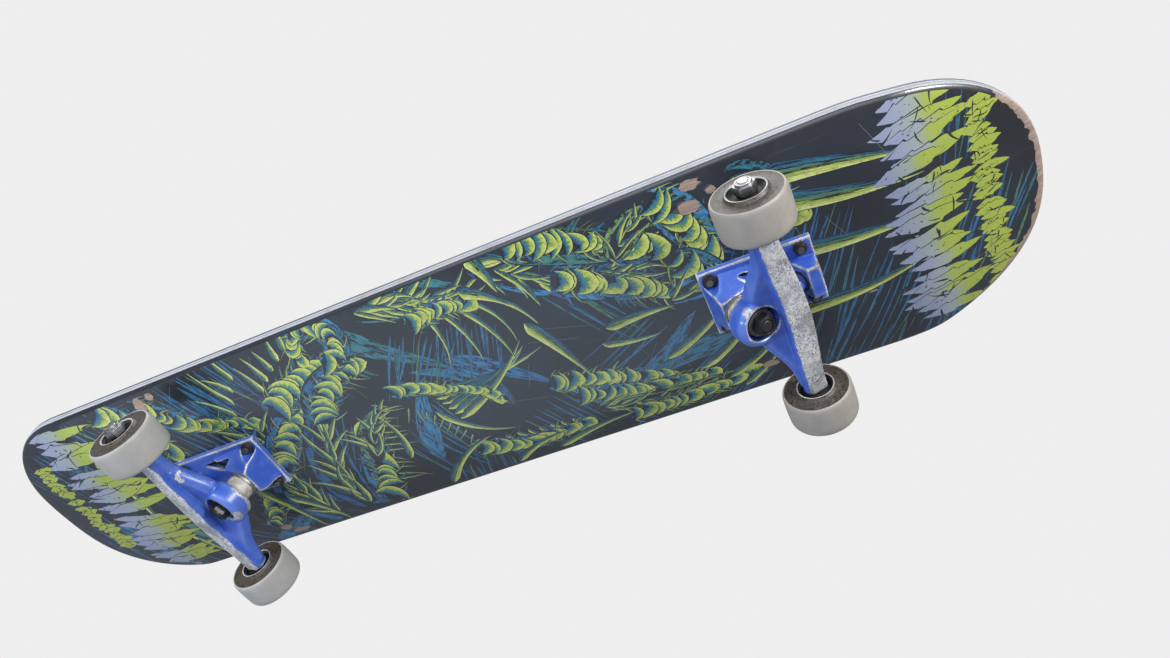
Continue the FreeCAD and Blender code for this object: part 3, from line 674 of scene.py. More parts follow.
# Start, heading, length, width, bend, sway, how many crescents and the taper.
BANDS = (
    ((-300, -92), 25, 78, 24, 60, 0, 7, 0.5), ((-262, -88), 42, 96, 19, -20, 10, 10, 0.55),
    ((-176, 88), -118, 120, 26, 55, 0, 11, 0.35), ((-188, 20), -60, 96, 24, 40, 0, 9, 0.3),
    ((-158, -34), -52, 70, 26, 60, 0, 7, 0.35), ((-146, 84), -100, 118, 30, 48, 0, 10, 0.3),
    ((-126, -12), -70, 74, 24, 70, 0, 8, 0.4), ((-128, 88), -58, 88, 24, -30, 0, 8, 0.3),
    ((-110, 40), -76, 58, 22, 40, 0, 6, 0.35), ((-96, -62), 10, 84, 20, -300, 0, 12, 0.6),
    ((-64, -18), -10, 84, 13, 70, 14, 11, 0.75), ((-52, -90), 6, 86, 26, 10, 0, 9, 0.4),
    ((-20, -66), -20, 50, 16, 40, 0, 6, 0.5), ((-32, 62), 10, 92, 17, -6, 10, 10, 0.45),
    ((44, -92), 30, 120, 26, -12, 8, 12, 0.35), ((66, -96), 12, 116, 24, 20, 0, 11, 0.3),
    ((92, -60), 24, 84, 22, 10, 0, 8, 0.4), ((140, -58), -62, 50, 18, 70, 0, 6, 0.4),
    ((174, -90), 46, 62, 25, 40, 0, 6, 0.2), ((176, -46), 66, 52, 22, -40, 0, 5, 0.3),
    ((164, -12), -8, 66, 19, 8, 0, 7, 0.3), ((52, 22), 12, 92, 19, 16, 0, 10, 0.3),
    ((66, 42), 16, 104, 18, -8, 6, 11, 0.35), ((78, 62), 10, 112, 17, -10, 6, 12, 0.4),
    ((96, 80), 4, 100, 16, -12, 0, 11, 0.4), ((-240, 74), -40, 62, 17, -60, 0, 7, 0.6),
    ((226, -84), 30, 44, 21, 12, 0, 5, 0.2), ((228, -58), 26, 40, 20, 0, 0, 4, 0.2))

# Start, heading, length, width, bend and sway.
BLADES = (
    ((246, -75), 8, 92, 18, 6, 0), ((248, -54), 8, 98, 18, 3, 4), ((222, -18), 2, 128, 18, 6, 5),
    ((212, 26), 16, 130, 17, -36, 0), ((222, 70), -66, 54, 14, 30, 0),
    ((142, 36), -18, 96, 10, -30, 0), ((164, 56), -22, 84, 10, -34, 0),
    ((180, 74), -20, 76, 9, -30, 0), ((188, 88), -28, 62, 8, -30, 0),
    ((60, -36), 62, 68, 14, 12, 0), ((112, -8), -6, 52, 12, 14, 0), ((104, 4), 20, 44, 9, -20, 0),
    ((-326, -52), 78, 108, 11, 30, 0), ((-316, 44), 60, 58, 9, 26, 0),
    ((44, -98), 58, 34, 14, 30, 0), ((28, -76), 22, 36, 12, 30, 0),
    ((-222, 26), 62, 74, 12, 20, 0), ((-204, 46), 40, 62, 11, 40, 0),
    ((-84, 48), -68, 54, 8, -50, 0), ((-70, 92), -60, 72, 11, 50, 0),
    ((-8, 92), -38, 60, 9, 40, 0), ((30, 90), -20, 74, 10, 20, 0), ((-40, 12), 64, 66, 9, -50, 0))

# Centre and half sizes of the chips that show bare wood.
CHIPS = (((-252, -84), (5, 8)), ((-240, -88), (4, 3.4)), ((-232, 79), (6, 4)),
         ((-222, 88), (9, 3.6)), ((204, -88), (8, 3.8)), ((199, -74), (9, 5)),
         ((216, -80), (4, 3)), ((212, 74), (7, 3.6)), ((-340, 90), (4, 3)), ((296, 38), (4, 1)))

# Start, headings, length, width, bend and the step from one blade's root to the next.
FANS = (((-36, -6), (8, 2, -4, -10, -16, -20), 88, 9, -22, (2, 6.4)),
        ((-4, -70), (70, 60, 50, 40, 30), 58, 6, 50, (12, 1)))

# Start, heading, length and bend of a line; then how many spikes stand on it, how they lean,
# and their length and width.
SPIKES = (
    ((-188, 66), -112, 150, 60, 13, -55, 34, 8), ((-152, -58), -40, 110, 30, 10, -62, 30, 8),
    ((-106, 66), -84, 84, 20, 12, 92, 24, 3.4), ((-58, 0), 36, 78, 50, 11, 70, 15, 3),
    ((-30, 54), 6, 84, 0, 9, 50, 20, 6))

# Ends along the board, sides, pitch, spread and kind of each row of shards.
SHARD_ROWS = ((-372, -296, -88, 84, 8.5, 9, SHARD), (-398, -376, -56, 54, 5.5, 3, THORN),
              (318, 372, -88, 82, 8, 7, SHARD), (374, 396, -64, 76, 5.5, 3, THORN))


def shards(dice, left, right, low, high, pitch, spread, kind):
    """A dense, thorny row across the board, of shards that point along it, with dark cracks."""
    shapes, cracks = [], []
    for y in np.arange(low, high, pitch):
        root = (left + dice.uniform(-spread, spread), y + dice.uniform(-0.3, 0.3) * pitch)
        length = right - left + dice.uniform(-spread, spread) * 1.2
        shapes += shard(dice, root, dice.uniform(-9, 9), length,
                        pitch * dice.uniform(1.5, 2.2), kind)
        for _ in range(2):
            place = (dice.uniform(left, right - spread), y + dice.uniform(-0.5, 0.5) * pitch)
            cracks += blade(dice, place, dice.choice((0, 180, 70, 110)) + dice.uniform(-25, 25),
                            pitch * dice.uniform(0.8, 2.2), pitch * dice.uniform(0.12, 0.3),
                            dice.uniform(-60, 60), 0, GROUND, 0.3, 10)
    return shapes + cracks


def scratches(dice):
    shapes = []
    for _ in range(SCRATCH_COUNT):
        root = (dice.uniform(-380, 360), dice.uniform(-92, 92))
        spine = curl(root, dice.choice((8, 60, 118, 150)) + dice.uniform(-16, 16),
                     dice.uniform(8, 46), dice.uniform(-6, 6), 0, 4)
        widths = np.full(len(spine), 0.09)
        shapes.append(strip(spine, widths, widths, SCRATCH, dice.random()))
    return shapes


def worn_tip(dice):
    """The ragged strip along the nose's end, where dragging has worn through to the wood."""
    arc = end_arc(NOSE, 120)[36:100]
    share = np.linspace(0, 1, len(arc))
    body = np.sin(math.pi * share) ** 0.5
    inner = np.array([dice.uniform(0.4, 3.6) for _ in share]) * body + BOTTOM_ROUNDOVER
    return [strip(arc, inner, np.full(len(arc), WORN_OUTSIDE), WORN, 0.5)]


def band(dice, feathered, start, heading, length, width, bend, sway, count, taper):
    """A band that follows a line: shaded underneath, with plumes or crescents on top."""
    spine = curl(start, heading, length, bend, sway, BAND_STEPS)
    count = round(count * BAND_DENSITY)
    shapes = shade(dice, spine, width, taper)
    if feathered:
        return shapes + plumes(dice, spine, width, count, taper)
    return shapes + crescents(dice, spine, length, width, count, taper)


def deck_art():
    """Every shape of the print, from the lowest to the topmost."""
    dice = random.Random(ART_SEED)
    shapes = []
    for start, heading, length, width, bend in WASHES:
        shapes += blade(dice, start, heading, length, width, bend, 8, STROKE, 0.35)
    for start, heading, length, count, gap in BRUSHWORK:
        shapes += brush(dice, start, heading, length, round(count * BRUSH_DENSITY),
                        gap / BRUSH_CLOSENESS)
    for row in FANS:
        shapes += fan(dice, *row)
    for row in SPIKES:
        shapes += spikes(dice, *row)
    for number, row in enumerate(BANDS):
        shapes += band(dice, number % 3 == 2, *row)
    for row in BLADES:
        shapes += blade(dice, *row)
    for row in SHARD_ROWS:
        shapes += shards(dice, *row)
    for row in CHIPS:
        shapes += chip(dice, *row)
    return shapes + worn_tip(dice) + scratches(dice)


def local_places(shape, places):
    """How far each place lies across (-1 to 1) and along (0 to 1) a shape."""
    if shape["spine"] is None:
        away = (places - shape["centre"]) / shape["size"]
        return np.clip(np.linalg.norm(away, axis=1), 0, 1), np.full(len(places), 0.5)
    spine, (left, right) = shape["spine"], shape["widths"]
    after = spine[1:] - spine[:-1]
    length = np.linalg.norm(after, axis=1)
    gap = places[:, None, :] - spine[None, :-1, :]
    share = np.clip((gap * after).sum(2) / length ** 2, 0, 1)
    miss = gap - share[:, :, None] * after
    best = np.argmin((miss ** 2).sum(2), axis=1)
    row = np.arange(len(places))
    chosen = share[row, best]
    side = after[best, 0] * gap[row, best, 1] - after[best, 1] * gap[row, best, 0]
    widths = np.where(side > 0, left[best] * (1 - chosen) + left[best + 1] * chosen,
                      right[best] * (1 - chosen) + right[best + 1] * chosen)
    across = side / length[best] / np.maximum(widths, 0.15)
    travelled = np.concatenate([[0], np.cumsum(length)])
    along = (travelled[best] + chosen * length[best]) / travelled[-1]
    return np.clip(across, -1, 1), along


def worn_rim(mesh, first, spine):
    """The corners of the rim's faces, from the first one on, beside the worn strip."""
    corners = []
    for face in mesh.polygons[first:]:
        middle = np.array(face.center[:2]) / MM
        if np.min(((spine - middle) ** 2).sum(1)) < WORN_REACH ** 2:
            corners += face.loop_indices
    return corners


def paint(mesh, plan, triangles, tops, art):
    """Store, at each corner of each bottom triangle, which shape it is in and where."""
    corners = np.zeros((len(mesh.loops), 3))
    kinds, sizes = np.zeros(len(mesh.loops)), np.zeros(len(mesh.loops))
    flipped = triangles[:, ::-1]
    for index, shape in enumerate(art):
        rows = np.nonzero(tops == index)[0]
        places = plan[flipped[rows].reshape(-1)]
        loops = (rows[:, None] * 3 + np.arange(3)).reshape(-1)
        across, along = local_places(shape, places)
        corners[loops] = np.column_stack([across, along, np.full(len(places), shape["seed"])])
        kinds[loops] = shape["kind"]
        sizes[loops] = np.max(shape["widths"])
        if shape["kind"] == WORN:
            kinds[worn_rim(mesh, len(triangles), shape["spine"])] = WORN
    store(mesh, "art_place", corners, "CORNER")
    store(mesh, "art_kind", kinds, "CORNER")
    store(mesh, "art_size", sizes, "CORNER")


# ---------------------------------------------------------------- copies of CAD pieces

TRUCKS = {"front": 1, "rear": -1}
LEAN = math.radians(28)
AXLE_X, AXLE_DROP, WHEEL_Y = 11.2, 42.3, 81.0
KINGPIN_X, KINGPIN_DROP = 12.75, 34.0
GROUND_ANGLE, GROUND_DEPTH, GROUND_FADE = math.radians(22.5), 6.4, 5.0
CASTING_VOXEL, CASTING_ROUNDS, RELAX_ROUNDS = 0.5, 12, 22
BEVEL_STEPS, BEVEL_ANGLE, SAME_POINT = 2, math.radians(28), 0.001
BUSHING_BORE, BUSHING_ROUND, BUSHING_TURNS, WHEEL_TURNS = 5.1, 1.2, 72, 160


def on_truck(end, along, across, drop):
    """A place in millimetres, from its place in a truck's own frame."""
    return Vector((end * (TRUCK_CENTRE + along), end * across, DECK_BOTTOM - drop))


def cad_copy(node, body, material):
    """A copy of a CAD piece that is shown in its place, so that its edges can be finished."""
    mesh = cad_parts[node].data.copy()
    mesh.materials.clear()
    mesh.materials.append(material)
    piece = placed(node + "_finished", mesh)
    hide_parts(node)
    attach(piece, body)
    return piece


def bevelled(node, body, material, width):
    """A copy of a machined piece with its sharp edges broken."""
    piece = cad_copy(node, body, material)
    shape = bmesh.new()
    shape.from_mesh(piece.data)
    bmesh.ops.remove_doubles(shape, verts=shape.verts, dist=SAME_POINT * MM)
    bmesh.ops.dissolve_limit(shape, angle_limit=math.radians(1), verts=shape.verts,
                             edges=shape.edges)
    shape.to_mesh(piece.data)
    shape.free()
    edge = piece.modifiers.new("broken_edges", "BEVEL")
    edge.width = width * MM
    edge.segments = BEVEL_STEPS
    edge.limit_method = "ANGLE"
    edge.angle_limit = BEVEL_ANGLE
    smooth(piece, SHARP_COPY)


def listed(items, key, kind, width):
    """A mesh's values as an array, one row for each item."""
    values = np.empty(len(items) * width, kind)
    items.foreach_get(key, values)
    return values.reshape(-1, width)


def relaxed(points, edges, rounds):
    """The points after that many rounds of moving each to the middle of its neighbours."""
    ends = np.concatenate([edges[:, 0], edges[:, 1]])
    others = np.concatenate([edges[:, 1], edges[:, 0]])
    count = np.maximum(np.bincount(ends, minlength=len(points)), 1)[:, None]
    for _ in range(rounds):
        total = [np.bincount(ends, points[others, axis], len(points)) for axis in range(3)]
        points = np.column_stack(total) / count
    return points


def cast_mesh(piece):
    """The piece's shape with all of its edges rounded."""
    remesh = piece.modifiers.new("remesh", "REMESH")
    remesh.mode = "VOXEL"
    remesh.voxel_size = CASTING_VOXEL * MM
    rounding = piece.modifiers.new("rounding", "SMOOTH")
    rounding.iterations = CASTING_ROUNDS
    graph = bpy.context.evaluated_depsgraph_get()
    made = bpy.data.meshes.new_from_object(piece.evaluated_get(graph))
    piece.modifiers.clear()
    piece.data = made
    made.shade_smooth()
    return made


def casting(node, body, material, ground=None):
    """A copy of a cast piece with rounded edges. It stores how far each point stands out, for
    the wear on the edges and for a painted highlight along them. With ground, a place and a
    direction, it also stores how squarely each point near the ground-down plane faces that way."""
    made = cast_mesh(cad_copy(node, body, material))
    edges = listed(made.edges, "vertices", np.int64, 2)
    points = listed(made.vertices, "co", float, 3)
    normals = listed(made.vertex_normals, "vector", float, 3)
    calm = relaxed(points, edges, RELAX_ROUNDS)
    store(made, "standing_out", ((points - calm) * normals).sum(1) / MM)
    facing = np.zeros(len(points))
    if ground is not None:
        place, away = (np.array(part) for part in ground)
        depth = (points / MM - place) @ away
        near = np.clip((depth - GROUND_DEPTH) / GROUND_FADE + 1, 0, 1)
        facing = near * np.clip(normals @ away + 0.85, 0, 1)
    store(made, "faces_ground", facing)


def lathed(name, profile, centre, axis, material, turns):
    """A round piece: the closed profile of (radius, height) points turned about an axis."""
    upright = Vector(axis).to_track_quat("Z", "Y").to_matrix()
    angles = np.linspace(0, 2 * math.pi, turns, endpoint=False)
    rows = np.array([[(radius * math.cos(angle), radius * math.sin(angle), height)
                      for angle in angles] for radius, height in profile])
    points = rows.reshape(-1, 3) @ np.array(upright).T
    rings = np.arange(len(points)).reshape(-1, turns).tolist()
    faces = []
    for ring, above in zip(rings, rings[1:] + rings[:1]):
        faces += wall(ring, above)
    piece = new_piece(name, points, faces, material)
    piece.location = Vector(centre) * MM
    smooth(piece, SHARP_TURNED)
    return piece


def softened(profile, radius, steps=3):
    """The closed profile with its corners rounded."""
    corners = [Vector(corner) for corner in profile]
    rounded = []
    for index, corner in enumerate(corners):
        before = corners[index - 1] - corner
        after = corners[(index + 1) % len(corners)] - corner
        reach = min(radius, before.length * 0.45, after.length * 0.45)
        start, end = corner + before.normalized() * reach, corner + after.normalized() * reach
        for step in range(steps + 1):
            share = step / steps
            first, second = start.lerp(corner, share), corner.lerp(end, share)
            rounded.append(tuple(first.lerp(second, share)))
    return rounded


# ---------------------------------------------------------------- trucks

# Node, whether it rides on the hanger, finish, slot and the width of its broken edges.
FITTINGS = (
    ("kingpin", False, "kingpin", "dark_steel", 0.3),
    ("kingpin_nut", False, "kingpin_nut", "dark_steel", 0.35),
    ("board_side_washer", False, "washer", "worn_steel", 0.2),
    ("road_side_washer", False, "road_washer", "worn_steel", 0.35),
    ("pivot_cup", False, "pivot_cup", "pivot_plastic", 0.3),
    ("deck_bolts", False, "deck_bolt", "black_steel", 0.12),
    ("deck_nuts", False, "deck_nut", "black_steel", 0.3),
    ("axle", True, "axle", "bright_steel", 0.2),
    ("axle_nuts", True, "axle_nut", "bright_steel", 0.3),
    ("speed_washers", True, "speed_washer", "worn_steel", 0.15),
    ("bearing_spacers", True, "washer", "worn_steel", 0.15))

# Node, its low and high stations on the kingpin, radius and bulge, and the stations where it is
# held by the deck and moved by the hanger.
BUSHINGS = (("board_side_bushing", -13.4, -2.0, 10.0, 0.6, -13.0, -2.4),
            ("road_side_bushing", 1.5, 9.2, 9.6, 0.7, 9.0, 1.9))


def barrel(low, high, radius, bulge, steps=8):
    """A closed profile whose outer side bulges between two stations."""
    shares = [step / steps for step in range(steps + 1)]
    side = [(radius + bulge * math.sin(math.pi * share), low + (high - low) * share)
            for share in shares]
    return [(BUSHING_BORE, high), (BUSHING_BORE, low)] + side


def bushing(name, end, material, node, low, high, radius, bulge, held, moved):
    """A urethane bushing about the kingpin."""
    axis = Vector((end * math.sin(LEAN), 0, -math.cos(LEAN)))
    centre = on_truck(end, -KINGPIN_X, 0, KINGPIN_DROP)
    profile = softened(barrel(low, high, radius, bulge), BUSHING_ROUND)
    piece = lathed(f"{name}_{node}", profile, centre, axis, material,
                   BUSHING_TURNS)
    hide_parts(f"{name}_{node}")
    start, stop = (centre + axis * station for station in (held, moved))
    start * MM
    stop * MM
    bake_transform(piece)


def truck(name, end, finishes):
    hanger = f"{name}_hanger"
    ground = (on_truck(end, AXLE_X, 0, AXLE_DROP),
              (end * math.sin(GROUND_ANGLE), 0, -math.cos(GROUND_ANGLE)))
    casting(hanger, hanger, finishes["hanger"], ground)
    casting(f"{name}_baseplate", "deck", finishes["baseplate"])
    for node, on_hanger, finish, slot, width in FITTINGS:
        bevelled(f"{name}_{node}", hanger if on_hanger else "deck", finishes[finish], width)
    for row in BUSHINGS:
        bushing(name, end, finishes["bushing"], *row)


# ---------------------------------------------------------------- wheels

# Radius and height of each corner, from the middle of the bore to the middle of the tread.
HALF_WHEEL = (
    (8.6, 0.0), (8.6, 5.0), (11.0, 5.0), (11.0, 12.0), (12.2, 12.6), (12.25, 14.2), (12.5, 14.4),
    (13.4, 14.4), (13.75, 14.1), (14.1, 12.9), (14.9, 12.35), (19.0, 12.15), (22.0, 12.35),
    (22.8, 12.5), (23.15, 12.35), (23.45, 11.9), (23.8, 11.2), (24.05, 10.0), (24.2, 7.0),
    (24.29, 3.0), (24.3, 0.0))

# Node, whether it turns with the wheel, finish, slot and the width of its broken edges.
BEARING_PARTS = (("bearing_outer_rings", True, "bearing", "bearing_steel", 0.2),
                 ("bearing_inner_rings", False, "bearing", "bearing_steel", 0.2),
                 ("bearing_shields", True, "shield", "shield_rubber", 0.05))


def wheels(name, end, finishes):
    profile = list(HALF_WHEEL) + [(radius, -height) for radius, height in HALF_WHEEL[-2:0:-1]]
    for side, sign in (("left", 1), ("right", -1)):
        body = f"{name}_{side}_wheel"
        centre = on_truck(end, AXLE_X, end * sign * WHEEL_Y, AXLE_DROP)
        wheel = lathed(f"{name}_{side}_tyre", profile, centre, (0, sign, 0),
                       finishes["wheel_" + name], WHEEL_TURNS)
        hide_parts(body)
        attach(wheel, body)
        for node, turns, finish, slot, width in BEARING_PARTS:
            bevelled(f"{name}_{side}_{node}", body if turns else f"{name}_hanger",
                     finishes[finish], width)
        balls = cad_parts[f"{name}_{side}_bearing_balls"]
        balls.data.materials.clear()
        balls.data.materials.append(finishes["bearing"])


# ---------------------------------------------------------------- finishes
# Noise scales count features per metre. A ramp gives a level or a colour at each place in it.

INK = (0.006, 0.008, 0.011)
LINE_WIDTH = 0.42
THREAD_START = 0.0945
FACE_START, LIP_RADIUS, CORE_RADIUS, PRINT_RADIUS = 11.6, 13.1, 12.23, 22.3


def darker(colour, share):
    return tuple(level * share for level in colour)


def printed_face():
    """The deck's printed bottom: dark ground, inked shapes, gloss, chips and scratches."""
    shader = Shader("printed_face", rough=0.4, coat=0.6)
    shader.set("Coat Roughness", 0.2)
    kind = shader.attribute("art_kind")
    place = across, along, seed = shader.split(shader.attribute("art_place", "Vector"))
    layers = ((STROKE, stroke_ink(shader, *place)),
              (BLADE, blade_ink(shader, *place, shader.attribute("art_size"))),
              (SEGMENT, segment_ink(shader, *place)),
              (SHARD, shard_ink(shader, *place)),
              (THORN, shard_ink(shader, across, along * 0.3 + 0.7, seed)),
              (CHIP, bare_wood(shader, across)), (WORN, bare_wood(shader, 0.0)),
              (SCRATCH, (0.16, 0.17, 0.19)))
    colour = ground_ink(shader)
    for number, layer in layers:
        colour = shader.mix(shader.math("COMPARE", kind, float(number), 0.4), colour, layer)
    scuffs = shader.ramp(shader.noise(1.0, 4, 0.7, shader.stretched((14, 260, 1))),
                         [(0.62, 0.0), (0.8, 0.3)])
    shader.set("Base Color", shader.mix(scuffs, colour, (0.12, 0.13, 0.15)))
    shader.set("Coat Weight", (1.0 - (kind > THORN + 0.5)) * 0.6)
    shader.set("Roughness", scuffs * 0.5 + 0.4)
    return shader.material


def ground_ink(shader):
    haze = shader.mottle(9, 4, 0.6, 0.42, 0.7)
    return shader.mix(haze, (0.009, 0.0105, 0.014), (0.014, 0.02, 0.033))


def stroke_ink(shader, across, along, seed):
    """Blue or green, broken up as a dry brush leaves it."""
    grain = shader.noise(1.6, 3, 0.7, shader.spread((across, 2.4), (along, 5.0), (seed, 40.0)))
    tint = shader.ramp(seed, [(0.0, (0.015, 0.09, 0.22)), (0.35, (0.03, 0.18, 0.38)),
                              (0.65, (0.02, 0.13, 0.23)), (0.85, (0.03, 0.16, 0.17)),
                              (1.0, (0.13, 0.24, 0.08))])
    shadow = shader.ramp(grain, [(0.48, 0.45), (0.62, 0.0)])
    tint = shader.mix(shadow, tint, (0.008, 0.03, 0.06))
    return shader.mix((grain > 0.46) * (abs(across) < 0.92), (0.0105, 0.0125, 0.019), tint)


def blade_ink(shader, across, along, seed, size):
    """Yellow-green on the lit side and blue-green on the other, with long inked lines."""
    streak = shader.noise(2.2, 2, 0.6, shader.spread((across, 2.6), (along, 1.6), (seed, 60.0)))
    lit = across * 0.5 + streak * 0.9 + 0.05
    tint = shader.ramp(lit, [(0.12, (0.012, 0.07, 0.16)), (0.3, (0.022, 0.13, 0.17)),
                             (0.42, (0.06, 0.15, 0.08)), (0.54, (0.18, 0.24, 0.04)),
                             (0.74, (0.33, 0.40, 0.08)), (0.9, (0.50, 0.54, 0.20))])
    hatch = (shader.math("SINE", streak * 14.0 + across * 15.0) > 0.55) * (lit < 0.62)
    veins = shader.math("PINGPONG", streak, 0.055) < 0.008
    rim = shader.math("DIVIDE", LINE_WIDTH, shader.most(size, 0.5))
    outside = abs(across) + rim > 1.0
    return shader.mix(shader.most(shader.most(hatch, outside), veins), tint, INK)


def segment_ink(shader, across, along, seed):
    """A crescent: black behind, hatched blue, then yellow-green up to a dark front line."""
    at = shader.spread((across, 0.9), (along, 9.0), (seed, 50.0))
    ragged = shader.noise(2.4, 2, 0.6, at) * 0.62 - 0.31
    wide = along - 0.5
    level = across * -0.5 + 0.5 + ragged - wide * wide * 0.9
    tint = shader.ramp(level, [(0.2, INK), (0.3, (0.014, 0.08, 0.18)),
                               (0.48, (0.024, 0.14, 0.17)), (0.57, (0.08, 0.16, 0.05)),
                               (0.68, (0.25, 0.31, 0.05)), (0.9, (0.41, 0.46, 0.12))])
    return shader.mix(abs(across) > 0.86, tint, INK)


def shard_ink(shader, across, along, seed):
    """Grey at one end, turning to yellow-green, with torn spots and a dark edge."""
    tint = shader.ramp(along, [(0.2, (0.22, 0.25, 0.36)), (0.45, (0.24, 0.28, 0.27)),
                               (0.62, (0.26, 0.32, 0.06)), (0.9, (0.28, 0.34, 0.045))])
    torn = shader.noise(1.8, 3, 0.6, shader.spread((across, 1.4), (along, 7.0), (seed, 50.0)))
    return shader.mix(shader.most(abs(across) > 0.9, torn > 0.66), tint, INK)


def bare_wood(shader, across):
    grain = shader.noise(1.0, 4, 0.6, shader.stretched((40, 900, 40)))
    wood = shader.ramp(grain, [(0.3, (0.15, 0.11, 0.09)), (0.55, (0.27, 0.2, 0.165)),
                               (0.75, (0.36, 0.28, 0.235))])
    return shader.mix(shader.math("GREATER_THAN", across, 0.9), wood, (0.05, 0.045, 0.045))


def ply_edge(name, colour):
    shader = Shader(name, rough=0.6)
    grain = shader.noise(1.0, 3, 0.6, shader.stretched((60, 900, 900)))
    dirt = shader.mottle(40, 4, 0.65, 0.5, 0.75, 0.5)
    tint = shader.mix(grain, colour, darker(colour, 0.75))
    shader.set("Base Color", shader.mix(dirt, tint, (0.12, 0.11, 0.10)))
    return shader.material


def grip_material():
    shader = Shader("grip_grit", rough=0.9)
    worn = shader.mottle(14, 4, 0.6, 0.45, 0.75)
    shader.set("Base Color", shader.mix(worn, (0.012, 0.012, 0.013), (0.026, 0.0255, 0.025)))
    shader.bump(shader.noise(2600, 2, 0.6), 0.7, 0.0006)
    return shader.material


def ground_metal(shader):
    """Bare cast aluminium with dark specks and soot."""
    pits = shader.noise(90, 3, 0.6) * 0.3 - 0.15
    speck = shader.ramp(shader.noise(950, 4, 0.75) + pits, [(0.36, 0.0), (0.5, 1.0)])
    metal = shader.mix(speck, (0.14, 0.135, 0.13), (0.72, 0.72, 0.73))
    soot = shader.mottle(46, 4, 0.62, 0.46, 0.6, 0.55)
    return shader.mix(soot, metal, (0.11, 0.105, 0.10))


def cast_paint(name, ground):
    """Blue paint on cast aluminium. It is worn through along edges that stand out and, on a
    hanger, over the side that was ground down along ledges. Where it stands out it is also
    painted a lighter blue, a painted highlight."""
    shader = Shader(name, rough=0.38, coat=0.25)
    shader.set("Coat Roughness", 0.3)
    fine = shader.noise(900, 4, 0.7)
    ragged = fine * 0.5 + shader.noise(130, 5, 0.65) * 0.9
    stands = shader.attribute("standing_out")
    patchy = shader.noise(38, 3, 0.6) * 3.2 - 2.75
    bare = shader.step(stands * 3.0 + patchy + ragged, 0.5, 0.12)
    haze = shader.mottle(70, 5, 0.7, 0.46, 0.76, 0.7)
    tint = shader.mix(haze, (0.024, 0.075, 0.40), (0.10, 0.16, 0.42))
    # Lighter blue where the casting stands out: a painted highlight along its edges.
    tint = shader.mix(shader.ramp(stands, [(0.0, 0.0), (0.35, 0.5)]), tint, (0.15, 0.25, 0.62))
    if ground:
        ledge = shader.noise(55, 4, 0.65) * 2.2 - 1.1
        face = shader.attribute("faces_ground") * 2.3 - 1.65 + ledge
        bare = shader.most(bare, shader.step(face + ragged, 0.62, 0.12))
    left = shader.flecks(300, 5, 0.72, 0.56, 0.05) * bare
    colour = shader.mix(bare, tint, ground_metal(shader))
    shader.set("Base Color", shader.mix(left * 0.6, colour, (0.2, 0.25, 0.42)))
    shader.set("Metallic", bare * 0.55)
    shader.set("Roughness", bare * 0.12 + 0.38)
    shader.set("Coat Weight", bare * -0.25 + 0.25)
    shader.bump(fine * 0.25 - bare, 0.5, 0.00025)
    return shader.material


def steel(name, colour, rough, rust=0.0, thread=0.0, metal=1.0):
    """Plated or plain steel, with stains and rust. A thread's pitch in millimetres cuts it
    along Y, out beyond the wheels."""
    shader = Shader(name, rough=rough, metal=metal)
    stain = shader.noise(260, 5, 0.7)
    tint = shader.mix(shader.ramp(stain, [(0.4, 0.0), (0.75, 0.8)]), colour, darker(colour, 0.45))
    if rust:
        spots = shader.mottle(420, 5, 0.7, 0.5 - rust * 0.2, 0.62)
        tint = shader.mix(spots, tint, (0.075, 0.04, 0.024))
        shader.set("Metallic", spots * -0.8 + metal)
    shader.set("Base Color", tint)
    shader.set("Roughness", stain * 0.25 + rough)
    if thread:
        side = shader.split(shader.where())[1]
        wave = shader.math("SINE", side * (2 * math.pi / (thread * MM)))
        shader.bump(wave * (abs(side) > THREAD_START), 0.8, 0.0003)
    return shader.material


def deck_nut_finish():
    shader = Shader("deck_nut", rough=0.42, metal=0.4)
    stain = shader.noise(500, 4, 0.6)
    shader.set("Base Color", shader.mix(stain, (0.008, 0.008, 0.009), (0.05, 0.042, 0.036)))
    return shader.material


def bushing_finish():
    shader = Shader("bushing", rough=0.5)
    dirt = shader.mottle(150, 5, 0.65, 0.42, 0.7)
    shader.set("Base Color", shader.mix(dirt, (0.46, 0.44, 0.41), (0.16, 0.145, 0.13)))
    shader.set("Subsurface Weight", 0.08)
    shader.set("Subsurface Scale", 0.002)
    shader.bump(dirt, 0.25, 0.0003)
    return shader.material


def plain(name, colour, rough, dusty=0.05):
    """Black plastic or rubber, a little dusty."""
    shader = Shader(name, rough=rough)
    dust = shader.mottle(300, 4, 0.65, 0.45, 0.8, 0.6)
    shader.set("Base Color", shader.mix(dust, colour, tuple(level + dusty for level in colour)))
    return shader.material


def wheel_print(shader, x, y, z, radius):
    """Blotches around a wheel's face, and how much of them wear has left."""
    at = shader.spread((shader.math("ARCTAN2", z, x), 4.4), (radius, 0.34), (y, 60.0))
    blots = shader.noise(1.25, 5, 0.68, at)
    tint = shader.ramp(blots, [(0.36, (0.012, 0.011, 0.01)), (0.46, (0.03, 0.027, 0.023)),
                               (0.5, (0.10, 0.088, 0.068)), (0.54, (0.018, 0.016, 0.014)),
                               (0.63, (0.07, 0.045, 0.034)), (0.74, (0.2, 0.18, 0.15))])
    worn = shader.flecks(420, 5, 0.72, 0.62, 0.09)
    wipe = shader.mottle(60, 4, 0.6, 0.52, 0.8, 0.45)
    return tint, 1.0 - worn * wipe


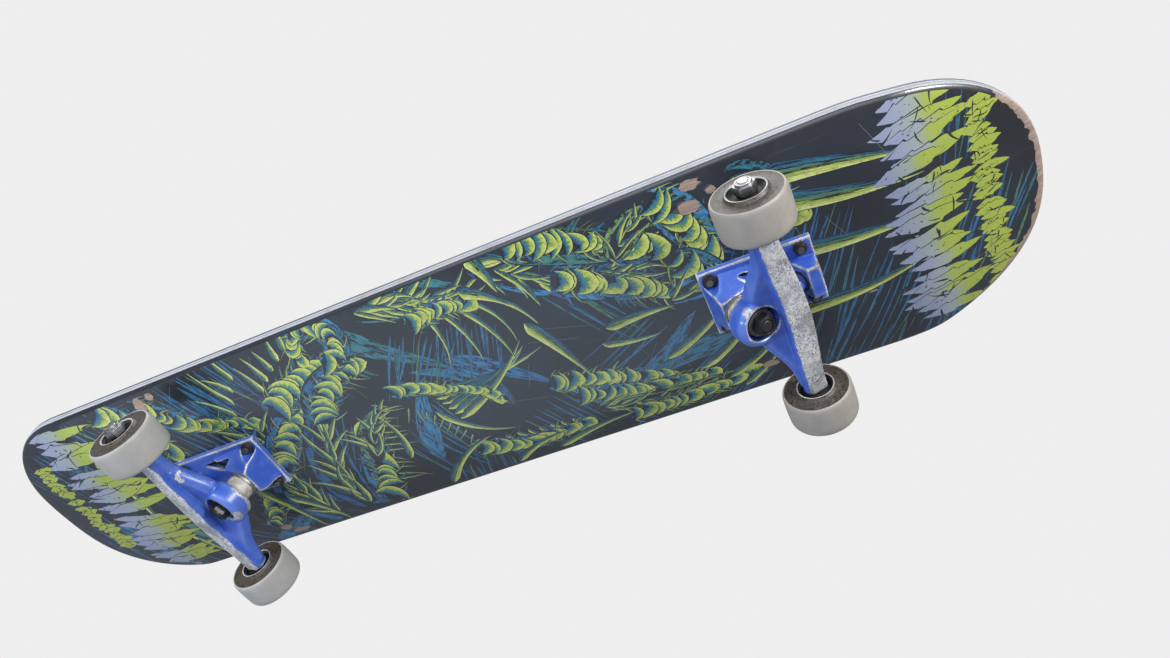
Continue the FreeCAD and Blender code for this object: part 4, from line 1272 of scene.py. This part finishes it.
def wheel_finish(name, colour, dirty):
    """Urethane with a worn print on each face, a pale lip inside it, and painted shade
    darkening the bore and the recess inside the lip.
    """
    shader = Shader(name, rough=0.48)
    x, y, z = shader.split(shader.where())
    flat = shader.add("CombineXYZ", {0: x, 1: z, 2: 0.0})
    radius = shader.add("VectorMath", {0: flat}, output=1, operation="LENGTH") * (1 / MM)
    face = abs(y) * (1 / MM) > FACE_START
    ring = face * (radius > LIP_RADIUS) * (radius < PRINT_RADIUS)
    tint, left = wheel_print(shader, x, y, z, radius)
    grime = shader.mottle(110, 5, 0.6, 0.38, 0.75, dirty)
    base = shader.mix(grime, colour, darker(colour, 0.6))
    speck = shader.flecks(2400, 3, 0.7, 0.66, 0.04)
    base = shader.mix(speck * 0.25, base, (0.10, 0.09, 0.08))
    base = shader.mix(face * (radius < LIP_RADIUS), base, (0.4, 0.4, 0.38))
    # Everything inside the lip is painted near black: painted shade in the recess and the bore.
    base = shader.mix(radius < CORE_RADIUS, base, (0.03, 0.028, 0.026))
    shader.set("Base Color", shader.mix(ring * left, base, tint))
    shader.bump(shader.noise(1300, 3, 0.6), 0.25, 0.00015)
    return shader.material


def all_finishes():
    return {
        "hanger": cast_paint("hanger_paint", True),
        "baseplate": cast_paint("baseplate_paint", False),
        "kingpin": steel("kingpin_steel", (0.06, 0.06, 0.065), 0.4, metal=0.8),
        "kingpin_nut": steel("kingpin_nut_steel", (0.05, 0.05, 0.055), 0.32, metal=0.85),
        "washer": steel("washer_steel", (0.42, 0.41, 0.39), 0.38, rust=0.25),
        "axle": steel("axle_steel", (0.62, 0.62, 0.6), 0.3, thread=1.0),
        "axle_nut": steel("axle_nut_chrome", (0.4, 0.4, 0.41), 0.26),
        "road_washer": steel("road_washer_steel", (0.2, 0.195, 0.19), 0.4, rust=0.1),
        "speed_washer": steel("speed_washer_steel", (0.07, 0.068, 0.066), 0.4),
        "bearing": steel("bearing_steel", (0.045, 0.045, 0.047), 0.42),
        "pivot_cup": plain("pivot_cup", (0.012, 0.012, 0.013), 0.5),
        "deck_bolt": steel("deck_bolt_steel", (0.15, 0.145, 0.14), 0.34, metal=0.8),
        "deck_nut": deck_nut_finish(),
        "shield": plain("bearing_shield", (0.006, 0.006, 0.007), 0.6, 0.012),
        "bushing": bushing_finish(),
        # Front and rear wheels are one urethane. Their base tones are set apart to match how
        # brightly each set is lit: painted light and shade.
        "wheel_front": wheel_finish("front_wheel", (0.28, 0.262, 0.238), 0.4),
        "wheel_rear": wheel_finish("rear_wheel", (0.31, 0.307, 0.295), 0.3),
    }


# ---------------------------------------------------------------- the whole board

camera()
studio()
floor()
deck()
finishes = all_finishes()
for truck_name, truck_end in TRUCKS.items():
    truck(truck_name, truck_end, finishes)
    wheels(truck_name, truck_end, finishes)
